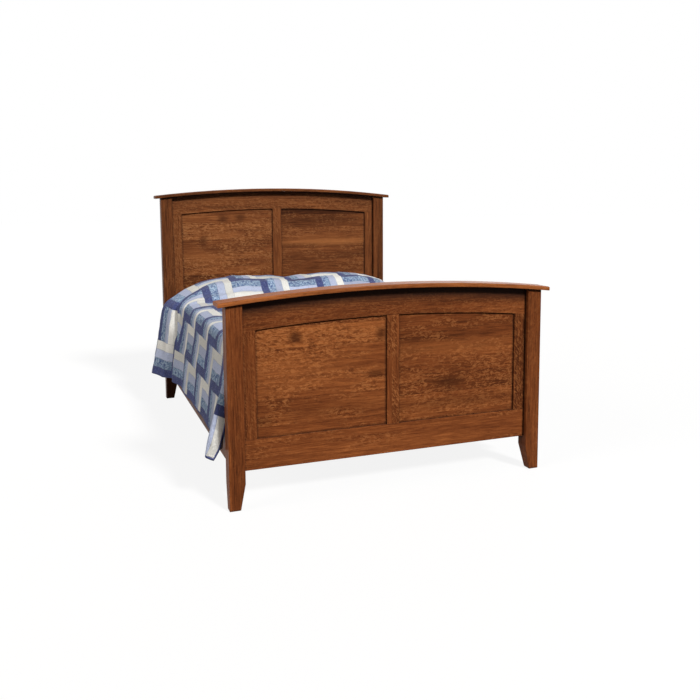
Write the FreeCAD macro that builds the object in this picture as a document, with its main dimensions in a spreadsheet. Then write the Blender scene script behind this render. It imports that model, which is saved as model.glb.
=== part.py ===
import FreeCAD, Part
import math
import os
import re
import Sketcher

# A full-size wooden panel bed with an arched headboard and footboard, hook-on side rails, slats and
# bedding. Millimetres. X runs to the right as seen from the foot of the bed, Y from the footboard to
# the headboard, Z up. The origin is on the floor, under the middle of the bed.

drivingDimensions = [
    ("bedWidth", 1512, "over the outer faces of the posts"),
    ("bedLength", 2096, "from the footboard posts' front to the headboard posts' back"),
    ("postSize", 70, "square section of a post"),
    ("footWidth", 48, "section of a post at the floor, after its two tapers"),
    ("taperStart", 116, "height above the floor where the tapers begin"),
    ("footPostTop", 880, "outer edge of a footboard post's top"),
    ("headPostTop", 1302, "outer edge of a headboard post's top"),
    ("archRise", 42, "rise of the cap's underside between the posts' outer faces"),
    ("panelArchRise", 36, "rise of a top rail's lower edge between the posts"),
    ("footTopRailDepth", 116, "top rail of the footboard, at the posts"),
    ("headTopRailDepth", 109, "top rail of the headboard, at the posts"),
    ("bottomRailDepth", 134, "both bottom rails"),
    ("footBottomRail", 165, "underside of the footboard's bottom rail"),
    ("headBottomRail", 420, "underside of the headboard's bottom rail"),
    ("frameThickness", 22, "rails and stiles of the boards"),
    ("frameSetback", 24, "frame face behind the posts' front face"),
    ("stileWidth", 58, "all stiles"),
    ("panelSetback", 10, "panel face behind the frame face"),
    ("panelThickness", 12, "field of a panel"),
    ("panelPlay", 1, "gap round the field of a panel"),
    ("tongueThickness", 6, "tongues of panels and stiles"),
    ("panelTongue", 8, "how far a panel's tongue reaches into its groove"),
    ("stileTongue", 9.5, "how far a stile's tongue reaches into its groove"),
    ("grooveDepth", 10, "grooves for the tongues"),
    ("glueGap", 0.1, "clearance on a glued face"),
    ("tenonThickness", 10, "rail tenons"),
    ("tenonLength", 35, "rail tenons"),
    ("tenonShoulder", 16, "rail edge to tenon edge"),
    ("mortiseEnd", 2, "space past the end of a tenon"),
    ("holeEnd", 1, "space past the end of a screw, nail, dowel or hook"),
    ("joinDepth", 1, "how far tenons and hooks start inside the piece they belong to"),
    ("cutPast", 10, "how far an open cut runs past the wood"),
    ("capThickness", 19, "measured upright"),
    ("capOverhangEnd", 35, "past a post's outer face"),
    ("capOverhangFace", 18, "past a post's front or back face"),
    ("capRound", 6, "upper edges of a cap"),
    ("capEase", 3, "lower edges of a cap"),
    ("edgeEase", 1.5, "long edges of posts, side rails, slats and legs"),
    ("dowelRadius", 4, "cap dowels"),
    ("dowelInCap", 11, "dowel length inside a cap"),
    ("dowelInWood", 18, "dowel length inside a post or a top rail"),
    ("railThickness", 25, "side rails"),
    ("railDepth", 165, "side rails"),
    ("railBottom", 150, "underside of a side rail"),
    ("railInset", 35, "side rail's outer face inside the posts' outer faces"),
    ("plateWidth", 18, "hook plates and slot plates"),
    ("plateHeight", 130, "hook plates and slot plates"),
    ("plateThickness", 2.5, "hook plates and slot plates"),
    ("plateRise", 17.5, "plate's lower end above the side rail's underside"),
    ("hookThickness", 3, "a hook, across the bed"),
    ("hookNeck", 20, "height of a hook where it passes its slot"),
    ("hookDrop", 10, "how far a hook's tip hangs below its neck"),
    ("hookReach", 10, "hook length past the meeting faces"),
    ("hookChamfer", 3, "front corners of a hook"),
    ("slotHeight", 31, "lets the tip in before the rail drops"),
    ("slotPlay", 0.5, "each side of a hook"),
    ("firstHook", 30, "lower hook's neck above the plate's lower end"),
    ("hookPitch", 60, "from one hook to the next"),
    ("firstPlateScrew", 12, "above the plate's lower end"),
    ("plateScrewPitch", 63, "from one plate screw to the next"),
    ("plateScrewLength", 28, "with its head"),
    ("screwRadius", 2, "all screws"),
    ("headRadius", 4, "all screws"),
    ("headThickness", 1.5, "all screws"),
    ("boreGap", 0.05, "bore radius beyond screw, pin or dowel radius"),
    ("cleatSize", 25, "square cleat under the slats"),
    ("cleatRise", 8, "cleat above the side rail's underside"),
    ("cleatShort", 30, "cleat end inside the rail end"),
    ("cleatScrewPitch", 360, "along a cleat"),
    ("cleatScrewLength", 44, "with its head"),
    ("slatWidth", 89, "along the bed"),
    ("slatThickness", 19, "slats"),
    ("slatPlay", 2, "slat end to side rail"),
    ("slatPitch", 445, "from one slat to the next"),
    ("slatScrewLength", 36, "with its head"),
    ("legSize", 45, "square centre support leg"),
    ("glideThickness", 3, "below the wood"),
    ("glideRadius", 12, "nail-on glides"),
    ("pinRadius", 1.5, "nail of a glide"),
    ("pinLength", 15, "nail of a glide"),
    ("sleepWidth", 1372, "mattress and foundation, 54 inches"),
    ("sleepLength", 1905, "mattress and foundation, 75 inches"),
    ("foundationHeight", 229, "9 inches"),
    ("foundationCorner", 30, "corner radius seen from above"),
    ("mattressHeight", 254, "10 inches"),
    ("mattressCorner", 70, "corner radius seen from above"),
    ("mattressRound", 52, "upper and lower edges of the mattress"),
    ("softGap", 0.5, "between one soft piece and the next"),
    ("pillowLength", 590, "across the bed"),
    ("pillowDepth", 410, "along the bed"),
    ("pillowHeight", 104, "under the quilt"),
    ("pillowOffset", 310, "pillow's middle from the bed's middle"),
    ("pillowBack", 1774, "pillow's middle from the footboard posts' front"),
    ("quiltThickness", 8, "cover, batting and backing"),
    ("quiltTuck", 112, "quilt hanging down inside the footboard"),
    ("quiltTuckWidth", 1380, "width of that part"),
    ("quiltFootGap", 14, "quilt's foot end behind the footboard posts"),
    ("quiltCornerStart", 113, "where a loose corner leaves the side, from the quilt's foot end"),
    ("quiltJoin", 1, "how far the quilt's parts run into each other"),
    ("rightCornerShare", 0.55, "how far the right corner stands out, as a share of the left one"),
]
slatCount = 5
leggedSlats = (2, 4)
cleatScrewCount = 6
capDowelsInRail = (-500, 0, 500)

# Half outlines of the quilt's outer face: a distance from the bed's middle and a height above the quilt's
# top on the mattress. Over the pillows the sides swing out past the posts.
quiltOutlines = {
    "mattress": [(0, 0), (150, 0), (300, 0), (450, 0), (570, 0), (640, 0), (681, -10), (696, -42),
                 (700, -89), (711, -164), (725, -244), (738, -344), (751, -468)],
    "pillowFoot": [(0, 28), (150, 44), (300, 50), (450, 44), (560, 30), (636, 10), (682, -12), (697, -44),
                   (702, -90), (712, -164), (726, -244), (739, -344), (752, -468)],
    "pillowCrest": [(0, 102), (150, 118), (300, 120), (450, 112), (550, 92), (630, 54), (700, 10),
                    (748, -34), (768, -90), (777, -154), (788, -244), (802, -344), (826, -475)],
    "headEnd": [(0, 78), (150, 90), (300, 94), (450, 82), (560, 60), (640, 32), (722, 2), (780, -38),
                (798, -94), (808, -164), (821, -244), (841, -344), (869, -475)],
}
# At places along the bed from the footboard posts' front: how much of each outline there is on top, and
# how much down the sides.
quiltSections = [("postSize + quiltFootGap + quiltCornerStart", (1, 0, 0, 0), (1, 0, 0, 0)),
                 ("1473", (1, 0, 0, 0), (1, 0, 0, 0)), ("1538", (0, 1, 0, 0), (0.47, 0.53, 0, 0)),
                 ("1633", (0, 0.15, 0.85, 0), (0, 0.82, 0.18, 0)), ("1728", (0, 0, 1, 0), (0, 0, 1, 0)),
                 ("1798", (0, 0, 0.88, 0.12), (0, 0, 0.47, 0.53)),
                 ("1863", (0, 0, 0.69, 0.31), (0, 0, 0, 1))]
topCorners, sideCorners = 5, 8      # outline points that belong to the top, and where the sides begin
# The loose corners at the foot, level by level above the quilt's top: how far from the middle the side's
# cloth, the outer fold and the foot hem's end are.
quiltCorner = [(-54, 697, 710, 686), (-164, 711, 760, 717), (-312, 734, 806, 744), (-394, 743, 824, 767),
               (-480, 752, 841, 806)]
# A corner's outer line and inner line: a share of the way from the side to the fold or the hem, a step
# across the bed, and a place from the quilt's foot end.
cornerOuterLine = [("fold", 0, 0, 112), ("fold", 0.55, 0, 59), ("fold", 1, 0, 32), ("fold", 1, 0, 16),
                   ("hem", 1, 0, 3)]
cornerInnerLine = [("hem", 1, 0, 11), ("fold", 1, -14, 24), ("fold", 0.55, -6, 51), ("fold", 0, -8, 112)]

doc = FreeCAD.newDocument("PanelBed")
sheet = doc.addObject("Spreadsheet::Sheet", "Dimensions")
for row, (alias, number, note) in enumerate(drivingDimensions, start=1):
    sheet.set(f"A{row}", note)
    sheet.set(f"B{row}", str(number))
    sheet.setAlias(f"B{row}", alias)
doc.recompute()

pieces = []


# ---- sizes as expressions on the sheet ----

def bound(text):
    # Every word that isn't a function is a dimension of the sheet.
    return re.sub(r"\b[A-Za-z]\w*\b(?!\()", lambda word: "Dimensions." + word.group(), text)


def value(text):
    number = sheet.evalExpression(bound(text))
    return float(getattr(number, "Value", number))


def arcRadius(chord, rise):
    return f"((({chord})^2 / 4 + ({rise})^2) / (2 * ({rise})))"


def arcHeight(across, springing, chord, rise):
    # Height at a place across the bed of an arc that is highest over the bed's middle.
    radius = arcRadius(chord, rise)
    return f"({springing} + {rise} - {radius} + sqrt({radius}^2 - ({across} - bedWidth / 2)^2))"


capRadius = arcRadius("bedWidth", "archRise")
innerSpan = "(bedWidth - 2 * postSize)"
panelRadius = arcRadius(innerSpan, "panelArchRise")
railLength = "(bedLength - 2 * postSize)"
slatUnderside = "(railBottom + cleatRise + cleatSize)"
deckHeight = f"({slatUnderside} + slatThickness)"
mattressBottom = f"({deckHeight} + foundationHeight + softGap)"
mattressTop = f"({mattressBottom} + mattressHeight)"
tongueFront = "(frameSetback + panelSetback)"


# ---- pieces, sketches and features ----

def newBody(name):
    piece = doc.addObject("PartDesign::Body", name)
    piece.Label = name
    pieces.append(piece)
    return piece


def place(piece, across, along, up):
    for axis, text in zip("xyz", (across, along, up)):
        piece.setExpression(f"Placement.Base.{axis}", bound(text))


# Each plane's role and the side that its normal points to, along its own axis.
sketchPlanes = {"XY": ("XY_Plane", 1), "XZ": ("XZ_Plane", -1), "YZ": ("YZ_Plane", 1)}


def newSketch(piece, plane, level):
    role, side = sketchPlanes[plane]
    origin = next(feature for feature in piece.Origin.OriginFeatures if feature.Role == role)
    sketch = piece.newObject("Sketcher::SketchObject", f"{piece.Name}_sketch")
    sketch.AttachmentSupport = [(origin, "")]
    sketch.MapMode = "FlatFace"
    sketch.setExpression("AttachmentOffset.Base.z", bound(f"{side} * ({level})"))
    return sketch


def constrain(sketch, kind, arguments, text):
    index = sketch.addConstraint(Sketcher.Constraint(kind, *arguments, value(text)))
    sketch.setExpression(f"Constraints[{index}]", bound(text))


def pinPoint(sketch, edge, end, point):
    # A zero is held by the sketch's own axis, any other size by a distance from it.
    for text, kind, axis in zip(point, ("DistanceX", "DistanceY"), (-2, -1)):
        if text == "0":
            sketch.addConstraint(Sketcher.Constraint("PointOnObject", edge, end, axis))
        else:
            constrain(sketch, kind, (-1, 1, edge, end), text)


def archEdge(start, end, radius):
    # The arc over two points, which bulges upwards and runs from its right end to its left end.
    left, right = sorted((start, end), key=lambda corner: corner.x)
    chord = right - left
    upward = FreeCAD.Vector(-chord.y, chord.x, 0).normalize()
    centre = (left + right) * 0.5 - upward * math.sqrt(radius**2 - (chord.Length / 2)**2)
    angles = [math.atan2(corner.y - centre.y, corner.x - centre.x) for corner in (right, left)]
    return Part.ArcOfCircle(Part.Circle(centre, FreeCAD.Vector(0, 0, 1), radius), *angles)


def nearEnd(edge, corner):
    # 1 for an edge's start, 2 for its end.
    toStart = edge.StartPoint.distanceToPoint(corner)
    toEnd = edge.EndPoint.distanceToPoint(corner)
    return 1 if toStart < toEnd else 2


def drawOutline(sketch, points, arches=None):
    # A closed outline through points. Arches gives the radius of each edge that isn't straight.
    arches = arches or {}
    corners = [FreeCAD.Vector(value(across), value(up), 0) for across, up in points]
    edges = []
    for index, start in enumerate(corners):
        end = corners[(index + 1) % len(corners)]
        if index in arches:
            edges.append(archEdge(start, end, value(arches[index])))
        else:
            edges.append(Part.LineSegment(start, end))
    sketch.addGeometry(edges, False)
    for index, corner in enumerate(corners):
        before = index - 1 if index else len(edges) - 1
        ends = (before, nearEnd(edges[before], corner), index, nearEnd(edges[index], corner))
        sketch.addConstraint(Sketcher.Constraint("Coincident", *ends))
        pinPoint(sketch, ends[2], ends[3], points[index])
    for index, radius in arches.items():
        constrain(sketch, "Radius", (index,), radius)


def drawCircles(sketch, centres, radius):
    for across, up in centres:
        middle = FreeCAD.Vector(value(across), value(up), 0)
        circle = Part.Circle(middle, FreeCAD.Vector(0, 0, 1), value(radius))
        edge = sketch.addGeometry(circle, False)
        pinPoint(sketch, edge, 3, (across, up))
        constrain(sketch, "Radius", (edge,), radius)


def rectangle(left, low, right, high):
    return [(left, low), (right, low), (right, high), (left, high)]


def extrude(piece, kind, plane, start, end, sketch):
    feature = piece.newObject(f"PartDesign::{kind}", f"{piece.Name}_{kind.lower()}")
    feature.Profile = sketch
    feature.setExpression("Length", bound(f"{end} - ({start})"))
    normalSide = sketchPlanes[plane][1]
    feature.Reversed = normalSide < 0 if kind == "Pad" else normalSide > 0
    return feature


def pad(piece, plane, start, end, points, arches=None):
    sketch = newSketch(piece, plane, start)
    drawOutline(sketch, points, arches)
    return extrude(piece, "Pad", plane, start, end, sketch)


def pocket(piece, plane, start, end, points, arches=None):
    sketch = newSketch(piece, plane, start)
    drawOutline(sketch, points, arches)
    return extrude(piece, "Pocket", plane, start, end, sketch)


def bore(piece, plane, start, end, centres, radius):
    sketch = newSketch(piece, plane, start)
    drawCircles(sketch, centres, radius)
    return extrude(piece, "Pocket", plane, start, end, sketch)


def ease(piece, radius, wanted):
    # Rounds the edges of the newest feature that wanted() picks.
    doc.recompute()
    base = piece.Tip
    names = [f"Edge{i}" for i, edge in enumerate(base.Shape.Edges, start=1) if wanted(edge)]
    fillet = piece.newObject("PartDesign::Fillet", f"{piece.Name}_ease")
    fillet.Base = (base, names)
    fillet.setExpression("Radius", bound(radius))
    return fillet


def runsAlong(edge, axis, least=0.9):
    # True where an edge's chord lies mostly along the axis (0, 1 or 2).
    chord = edge.Vertexes[-1].Point - edge.Vertexes[0].Point
    return chord.Length > 0 and abs(chord[axis]) > least * chord.Length


# ---- headboard and footboard ----

class Board:
    # Heights of one board. Its pieces share one local frame: x from the left post's outer face,
    # y from the posts' front face, z from the floor.
    def __init__(self, name, front, postTop, topRailDepth, bottomRail, bedSide):
        self.name = name
        self.front = front
        self.postTop = postTop
        self.railUnder = f"({postTop} - {topRailDepth})"
        self.bottomRail = bottomRail
        self.sill = f"({bottomRail} + bottomRailDepth)"
        self.bedSide = bedSide

    def capLine(self, across):
        return arcHeight(across, self.postTop, "bedWidth", "archRise")

    def archLine(self, across, raised="0"):
        return arcHeight(across, f"{self.railUnder} + {raised}", innerSpan, "panelArchRise")

    def newPiece(self, name):
        piece = newBody(f"{self.name}_{name}")
        place(piece, "-bedWidth / 2", self.front, "0")
        return piece


def mirrored(low, high, flip):
    # A stretch measured from one face of a post, or from the opposite face.
    if flip:
        return f"postSize - ({high})", f"postSize - ({low})"
    return low, high


def buildPost(board, side):
    # Outer faces are straight. The two faces towards the bed taper down to the floor.
    post = newBody(f"{board.name}_{side}_post")
    isRight = side == "right"
    across = "bedWidth / 2 - postSize" if isRight else "-bedWidth / 2"
    place(post, across, board.front, "0")
    tops = [board.postTop, board.capLine("postSize")]
    if isRight:
        tops.reverse()
    block = rectangle("0", "glideThickness", "postSize", tops[1])
    block[3] = ("0", tops[0])
    pad(post, "XZ", "0", "postSize", block, {2: capRadius})
    isHead = board.bedSide == "front"
    for plane, flip in (("XZ", isRight), ("YZ", isHead)):
        face, foot = ("0", "postSize - footWidth") if flip else ("postSize", "footWidth")
        wedge = [(face, "glideThickness"), (face, "taperStart"), (foot, "glideThickness")]
        pocket(post, plane, "0", "postSize", wedge)
    ease(post, "edgeEase", lambda edge: runsAlong(edge, 2) and edge.Length > value("footWidth"))

    start, end = mirrored("postSize - tenonLength - mortiseEnd", "postSize", isRight)
    tenonFront = "(frameSetback + (frameThickness - tenonThickness) / 2)"
    cheeks = (f"{tenonFront} - glueGap", f"{tenonFront} + tenonThickness + glueGap")
    for low, high in ((board.bottomRail, board.sill), (board.railUnder, board.postTop)):
        mortise = rectangle(cheeks[0], f"{low} + tenonShoulder - glueGap",
                            cheeks[1], f"{high} - tenonShoulder + glueGap")
        pocket(post, "YZ", start, end, mortise)
    start, end = mirrored("postSize - grooveDepth", "postSize", isRight)
    groove = rectangle(f"{tongueFront} - glueGap", f"{board.sill} - grooveDepth",
                       f"{tongueFront} + tongueThickness + glueGap", f"{board.railUnder} + grooveDepth")
    pocket(post, "YZ", start, end, groove)

    middle = mirrored("railInset + railThickness / 2", "0", isRight)[isRight]
    plateFoot = "(railBottom + plateRise)"
    recess = rectangle(f"{middle} - plateWidth / 2", plateFoot,
                       f"{middle} + plateWidth / 2", f"{plateFoot} + plateHeight")
    pocket(post, "XZ", *mirrored("postSize - plateThickness", "postSize", isHead), recess)
    behind = mirrored("postSize - hookReach - 2 * slotPlay", "postSize", isHead)
    for number in range(2):
        neck = f"({plateFoot} + firstHook + {number} * hookPitch)"
        hollow = rectangle(f"{middle} - hookThickness / 2 - 2 * slotPlay", f"{neck} - hookDrop - holeEnd",
                           f"{middle} + hookThickness / 2 + 2 * slotPlay", f"{neck} + slotHeight + holeEnd")
        pocket(post, "XZ", *behind, hollow)
    screws = [(middle, f"{plateFoot} + firstPlateScrew + {number} * plateScrewPitch")
              for number in range(2)]
    depth = mirrored("postSize - plateScrewLength - holeEnd", "postSize", isHead)
    bore(post, "XZ", *depth, screws, "screwRadius + boreGap")

    centre = [("postSize / 2", "postSize / 2")]
    dowelTop = f"({board.capLine('postSize / 2')})"
    dowelHole = (f"{dowelTop} - dowelInWood - holeEnd", f"{dowelTop} + cutPast")
    bore(post, "XY", *dowelHole, centre, "dowelRadius + boreGap")
    pin = [(mirrored("footWidth / 2", "0", isRight)[isRight],
            mirrored("footWidth / 2", "0", isHead)[isHead])]
    bore(post, "XY", "glideThickness", "glideThickness + pinLength + holeEnd", pin, "pinRadius + boreGap")


def addTenons(rail, low, high):
    # Each tenon starts just inside its shoulder, so that it joins the rail.
    front = "(frameSetback + (frameThickness - tenonThickness) / 2)"
    root = "(postSize + joinDepth)"
    ends = [("postSize - tenonLength", root), (f"bedWidth - {root}", "bedWidth - postSize + tenonLength")]
    for left, right in ends:
        tenon = rectangle(left, f"{low} + tenonShoulder", right, f"{high} - tenonShoulder")
        pad(rail, "XZ", front, f"{front} + tenonThickness", tenon)


def cutGroove(piece, outline, arches=None):
    pocket(piece, "XZ", f"{tongueFront} - glueGap", f"{tongueFront} + tongueThickness + glueGap",
           outline, arches)


def buildRails(board):
    frameBack = "frameSetback + frameThickness"
    left, right = "postSize", "bedWidth - postSize"

    top = board.newPiece("top_rail")
    capEdge = f"({board.capLine('postSize')} - glueGap)"
    edge = rectangle(left, board.railUnder, right, capEdge)
    pad(top, "XZ", "frameSetback", frameBack, edge, {0: panelRadius, 2: capRadius})
    channel = rectangle(left, f"{board.railUnder} - cutPast", right, f"{board.railUnder} + grooveDepth")
    cutGroove(top, channel, {2: panelRadius})
    addTenons(top, board.railUnder, board.postTop)
    drop = f"({board.capLine('bedWidth / 2')})"
    dowels = [(f"bedWidth / 2 + {offset}", "frameSetback + frameThickness / 2")
              for offset in capDowelsInRail]
    dowelHoles = (f"{drop} - dowelInWood - archRise", f"{drop} + cutPast")
    bore(top, "XY", *dowelHoles, dowels, "dowelRadius + boreGap")

    bottom = board.newPiece("bottom_rail")
    pad(bottom, "XZ", "frameSetback", frameBack, rectangle(left, board.bottomRail, right, board.sill))
    ease(bottom, "edgeEase", lambda side: runsAlong(side, 0))
    cutGroove(bottom, rectangle(left, f"{board.sill} - grooveDepth", right, f"{board.sill} + cutPast"))
    addTenons(bottom, board.bottomRail, board.sill)


def archedOutline(board, left, right, raised="0", lowered="0"):
    # From the bottom rail's upper edge to the arch, wider or narrower by what is raised and lowered.
    return [(left, f"{board.sill} - {lowered}"), (right, f"{board.sill} - {lowered}"),
            (right, board.archLine(right, raised)), (left, board.archLine(left, raised))]


def buildStile(board, name, left, grooves, tongueSides):
    stile = board.newPiece(name)
    right = f"({left} + stileWidth)"
    outline = archedOutline(board, left, right)
    pad(stile, "XZ", "frameSetback", "frameSetback + frameThickness", outline, {2: panelRadius})
    tongueLeft = f"({left} - stileTongue)" if "left" in tongueSides else f"({left} + grooveDepth)"
    tongueRight = f"({right} + stileTongue)" if "right" in tongueSides else f"({right} - grooveDepth)"
    for side in grooves:
        low, high = (left, f"{left} + grooveDepth") if side == "left" else (f"{right} - grooveDepth", right)
        groove = archedOutline(board, f"({low})", f"({high})", "cutPast", "cutPast")
        cutGroove(stile, groove, {2: panelRadius})
    tongue = archedOutline(board, tongueLeft, tongueRight, "stileTongue", "stileTongue")
    pad(stile, "XZ", tongueFront, f"{tongueFront} + tongueThickness", tongue, {2: panelRadius})


def buildPanel(board, name, left, right):
    # A flat panel: its face runs on into the tongue, and its back is rabbeted all round.
    panel = board.newPiece(name)
    tongue = archedOutline(board, f"({left} - panelTongue)", f"({right} + panelTongue)",
                           "panelTongue", "panelTongue")
    pad(panel, "XZ", tongueFront, f"{tongueFront} + tongueThickness", tongue, {2: panelRadius})
    field = archedOutline(board, f"({left} + panelPlay)", f"({right} - panelPlay)",
                          "-panelPlay", "-panelPlay")
    pad(panel, "XZ", f"{tongueFront} + tongueThickness", f"{tongueFront} + panelThickness",
        field, {2: panelRadius})


def buildCap(board):
    # The cap follows the arch over both posts and keeps one upright thickness. It is modelled upwards
    # from the level of the arch's ends.
    cap = newBody(f"{board.name}_cap")
    endDrop = f"({board.postTop} - {board.capLine('-capOverhangEnd')})"
    base = f"({board.postTop} - {endDrop})"
    place(cap, "-bedWidth / 2 - capOverhangEnd", f"{board.front} - capOverhangFace", base)
    length = "(bedWidth + 2 * capOverhangEnd)"
    depth = "(postSize + 2 * capOverhangFace)"
    outline = rectangle("0", "0", length, "capThickness")
    pad(cap, "XZ", "0", depth, outline, {0: capRadius, 2: capRadius})

    def isUpper(edge):
        return max(vertex.Z for vertex in edge.Vertexes) > value("capThickness") / 2

    ease(cap, "capRound", lambda edge: isUpper(edge) and not runsAlong(edge, 2))
    ease(cap, "capEase", lambda edge: not isUpper(edge) and edge.Length > value("postSize"))
    for offset in (f"capOverhangEnd + postSize / 2 - {length} / 2", *map(str, capDowelsInRail),
                   f"{length} / 2 - capOverhangEnd - postSize / 2"):
        isPost = "postSize" in offset
        along = "capOverhangFace + " + ("postSize / 2" if isPost else "frameSetback + frameThickness / 2")
        level = f"({board.capLine(f'bedWidth / 2 + {offset}')} - {base})"
        bore(cap, "XY", f"{level} - cutPast", f"{level} + dowelInCap + holeEnd",
             [(f"{length} / 2 + {offset}", along)], "dowelRadius + boreGap")


def buildBoard(board):
    buildPost(board, "left")
    buildPost(board, "right")
    buildRails(board)
    centreLeft = "(bedWidth / 2 - stileWidth / 2)"
    buildStile(board, "left_stile", "postSize", ["right"], ["left"])
    buildStile(board, "centre_stile", centreLeft, ["left", "right"], [])
    buildStile(board, "right_stile", "(bedWidth - postSize - stileWidth)", ["left"], ["right"])
    buildPanel(board, "left_panel", "(postSize + stileWidth)", centreLeft)
    buildPanel(board, "right_panel", f"({centreLeft} + stileWidth)", "(bedWidth - postSize - stileWidth)")
    buildCap(board)


# ---- side rails, cleats, slats and legs ----

def cleatScrewSpots():
    middle = (cleatScrewCount - 1) / 2
    return [f"({index - middle} * cleatScrewPitch)" for index in range(cleatScrewCount)]


def slatSpots():
    middle = (slatCount - 1) / 2
    return [f"({index - middle} * slatPitch)" for index in range(slatCount)]


def buildSideRail(side):
    rail = newBody(f"{side}_side_rail")
    isRight = side == "right"
    across = "bedWidth / 2 - railInset - railThickness" if isRight else "railInset - bedWidth / 2"
    place(rail, across, "postSize - bedLength / 2", "railBottom")
    pad(rail, "XZ", "0", railLength, rectangle("0", "0", "railThickness", "railDepth"))
    ease(rail, "edgeEase", lambda edge: runsAlong(edge, 1))
    middle = "(railThickness / 2)"
    recess = rectangle(f"{middle} - plateWidth / 2", "plateRise",
                       f"{middle} + plateWidth / 2", "plateRise + plateHeight")
    screws = [(middle, f"plateRise + firstPlateScrew + {number} * plateScrewPitch")
              for number in range(2)]
    pocket(rail, "XZ", "0", "plateThickness", recess)
    pocket(rail, "XZ", f"{railLength} - plateThickness", railLength, recess)
    bore(rail, "XZ", "0", "plateScrewLength + holeEnd", screws, "screwRadius + boreGap")
    headHoles = (f"{railLength} - plateScrewLength - holeEnd", railLength)
    bore(rail, "XZ", *headHoles, screws, "screwRadius + boreGap")
    reach = "(cleatScrewLength - headThickness - cleatSize + holeEnd)"
    start, end = ("0", reach) if isRight else (f"railThickness - {reach}", "railThickness")
    spots = [(f"{railLength} / 2 + {along}", "cleatRise + cleatSize / 2") for along in cleatScrewSpots()]
    bore(rail, "YZ", start, end, spots, "screwRadius + boreGap")


def buildCleat(side):
    cleat = newBody(f"{side}_slat_cleat")
    isRight = side == "right"
    edge = "(railInset + railThickness)"
    across = f"bedWidth / 2 - {edge} - cleatSize" if isRight else f"{edge} - bedWidth / 2"
    place(cleat, across, "postSize + cleatShort - bedLength / 2", "railBottom + cleatRise")
    length = f"({railLength} - 2 * cleatShort)"
    pad(cleat, "XZ", "0", length, rectangle("0", "0", "cleatSize", "cleatSize"))
    spots = [(f"{length} / 2 + {along}", "cleatSize / 2") for along in cleatScrewSpots()]
    bore(cleat, "YZ", "0", "cleatSize", spots, "screwRadius + boreGap")
    depth = "(slatScrewLength - slatThickness + holeEnd)"
    holes = [("cleatSize / 2", f"{length} / 2 + {along}") for along in slatSpots()]
    bore(cleat, "XY", f"cleatSize - {depth}", "cleatSize", holes, "screwRadius + boreGap")


def buildSlat(number, along):
    slat = newBody(f"slat_{number}")
    length = "(bedWidth - 2 * railInset - 2 * railThickness - 2 * slatPlay)"
    place(slat, f"-{length} / 2", f"{along} - slatWidth / 2", slatUnderside)
    pad(slat, "XY", "0", "slatThickness", rectangle("0", "0", length, "slatWidth"))
    ease(slat, "edgeEase", lambda edge: runsAlong(edge, 0))
    fromEnd = "(cleatSize / 2 - slatPlay)"
    screws = [(fromEnd, "slatWidth / 2"), (f"{length} - {fromEnd}", "slatWidth / 2")]
    if number in leggedSlats:
        screws.append((f"{length} / 2", "slatWidth / 2"))
    bore(slat, "XY", "0", "slatThickness", screws, "screwRadius + boreGap")
    bore(slat, "XY", "slatThickness - headThickness", "slatThickness", screws, "headRadius + boreGap")


def buildCentreLeg(number, along):
    leg = newBody(f"centre_support_leg_{number}")
    place(leg, "-legSize / 2", f"{along} - legSize / 2", "glideThickness")
    height = f"({slatUnderside} - glideThickness)"
    pad(leg, "XY", "0", height, rectangle("0", "0", "legSize", "legSize"))
    ease(leg, "edgeEase", lambda edge: runsAlong(edge, 2))
    centre = [("legSize / 2", "legSize / 2")]
    depth = "(slatScrewLength - slatThickness + holeEnd)"
    bore(leg, "XY", f"{height} - {depth}", height, centre, "screwRadius + boreGap")
    bore(leg, "XY", "0", "pinLength + holeEnd", centre, "pinRadius + boreGap")


# ---- rail hardware ----

def buildHookPlate(name, across, along, turn):
    # Let into a side rail's end. Its two hooks point at the post, which is towards -Y before the turn.
    plate = newBody(name)
    plate.Placement = FreeCAD.Placement(FreeCAD.Vector(), FreeCAD.Rotation(FreeCAD.Vector(0, 0, 1), turn))
    face = "hookReach"
    side = "plateWidth / 2"
    signedSide, signedFace = (side, face) if turn else (f"-{side}", f"-{face}")
    place(plate, f"{across} + {signedSide}", f"{along} + {signedFace}", "railBottom + plateRise")
    pad(plate, "XZ", face, f"{face} + plateThickness", rectangle("0", "0", "plateWidth", "plateHeight"))
    thin = ("(plateWidth / 2 - hookThickness / 2)", "(plateWidth / 2 + hookThickness / 2)")
    for number in range(2):
        neck = f"(firstHook + {number} * hookPitch)"
        tipBack = f"({face} - plateThickness - glueGap)"
        root = f"{face} + joinDepth"
        hook = [("0", f"{neck} - hookDrop + hookChamfer"), ("hookChamfer", f"{neck} - hookDrop"),
                (tipBack, f"{neck} - hookDrop"), (tipBack, neck), (root, neck), (root, f"{neck} + hookNeck"),
                ("hookChamfer", f"{neck} + hookNeck"), ("0", f"{neck} + hookNeck - hookChamfer")]
        pad(plate, "YZ", *thin, hook)
    screws = [("plateWidth / 2", f"firstPlateScrew + {number} * plateScrewPitch") for number in range(2)]
    bore(plate, "XZ", face, f"{face} + plateThickness", screws, "screwRadius + boreGap")
    bore(plate, "XZ", face, f"{face} + headThickness", screws, "headRadius + boreGap")


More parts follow.
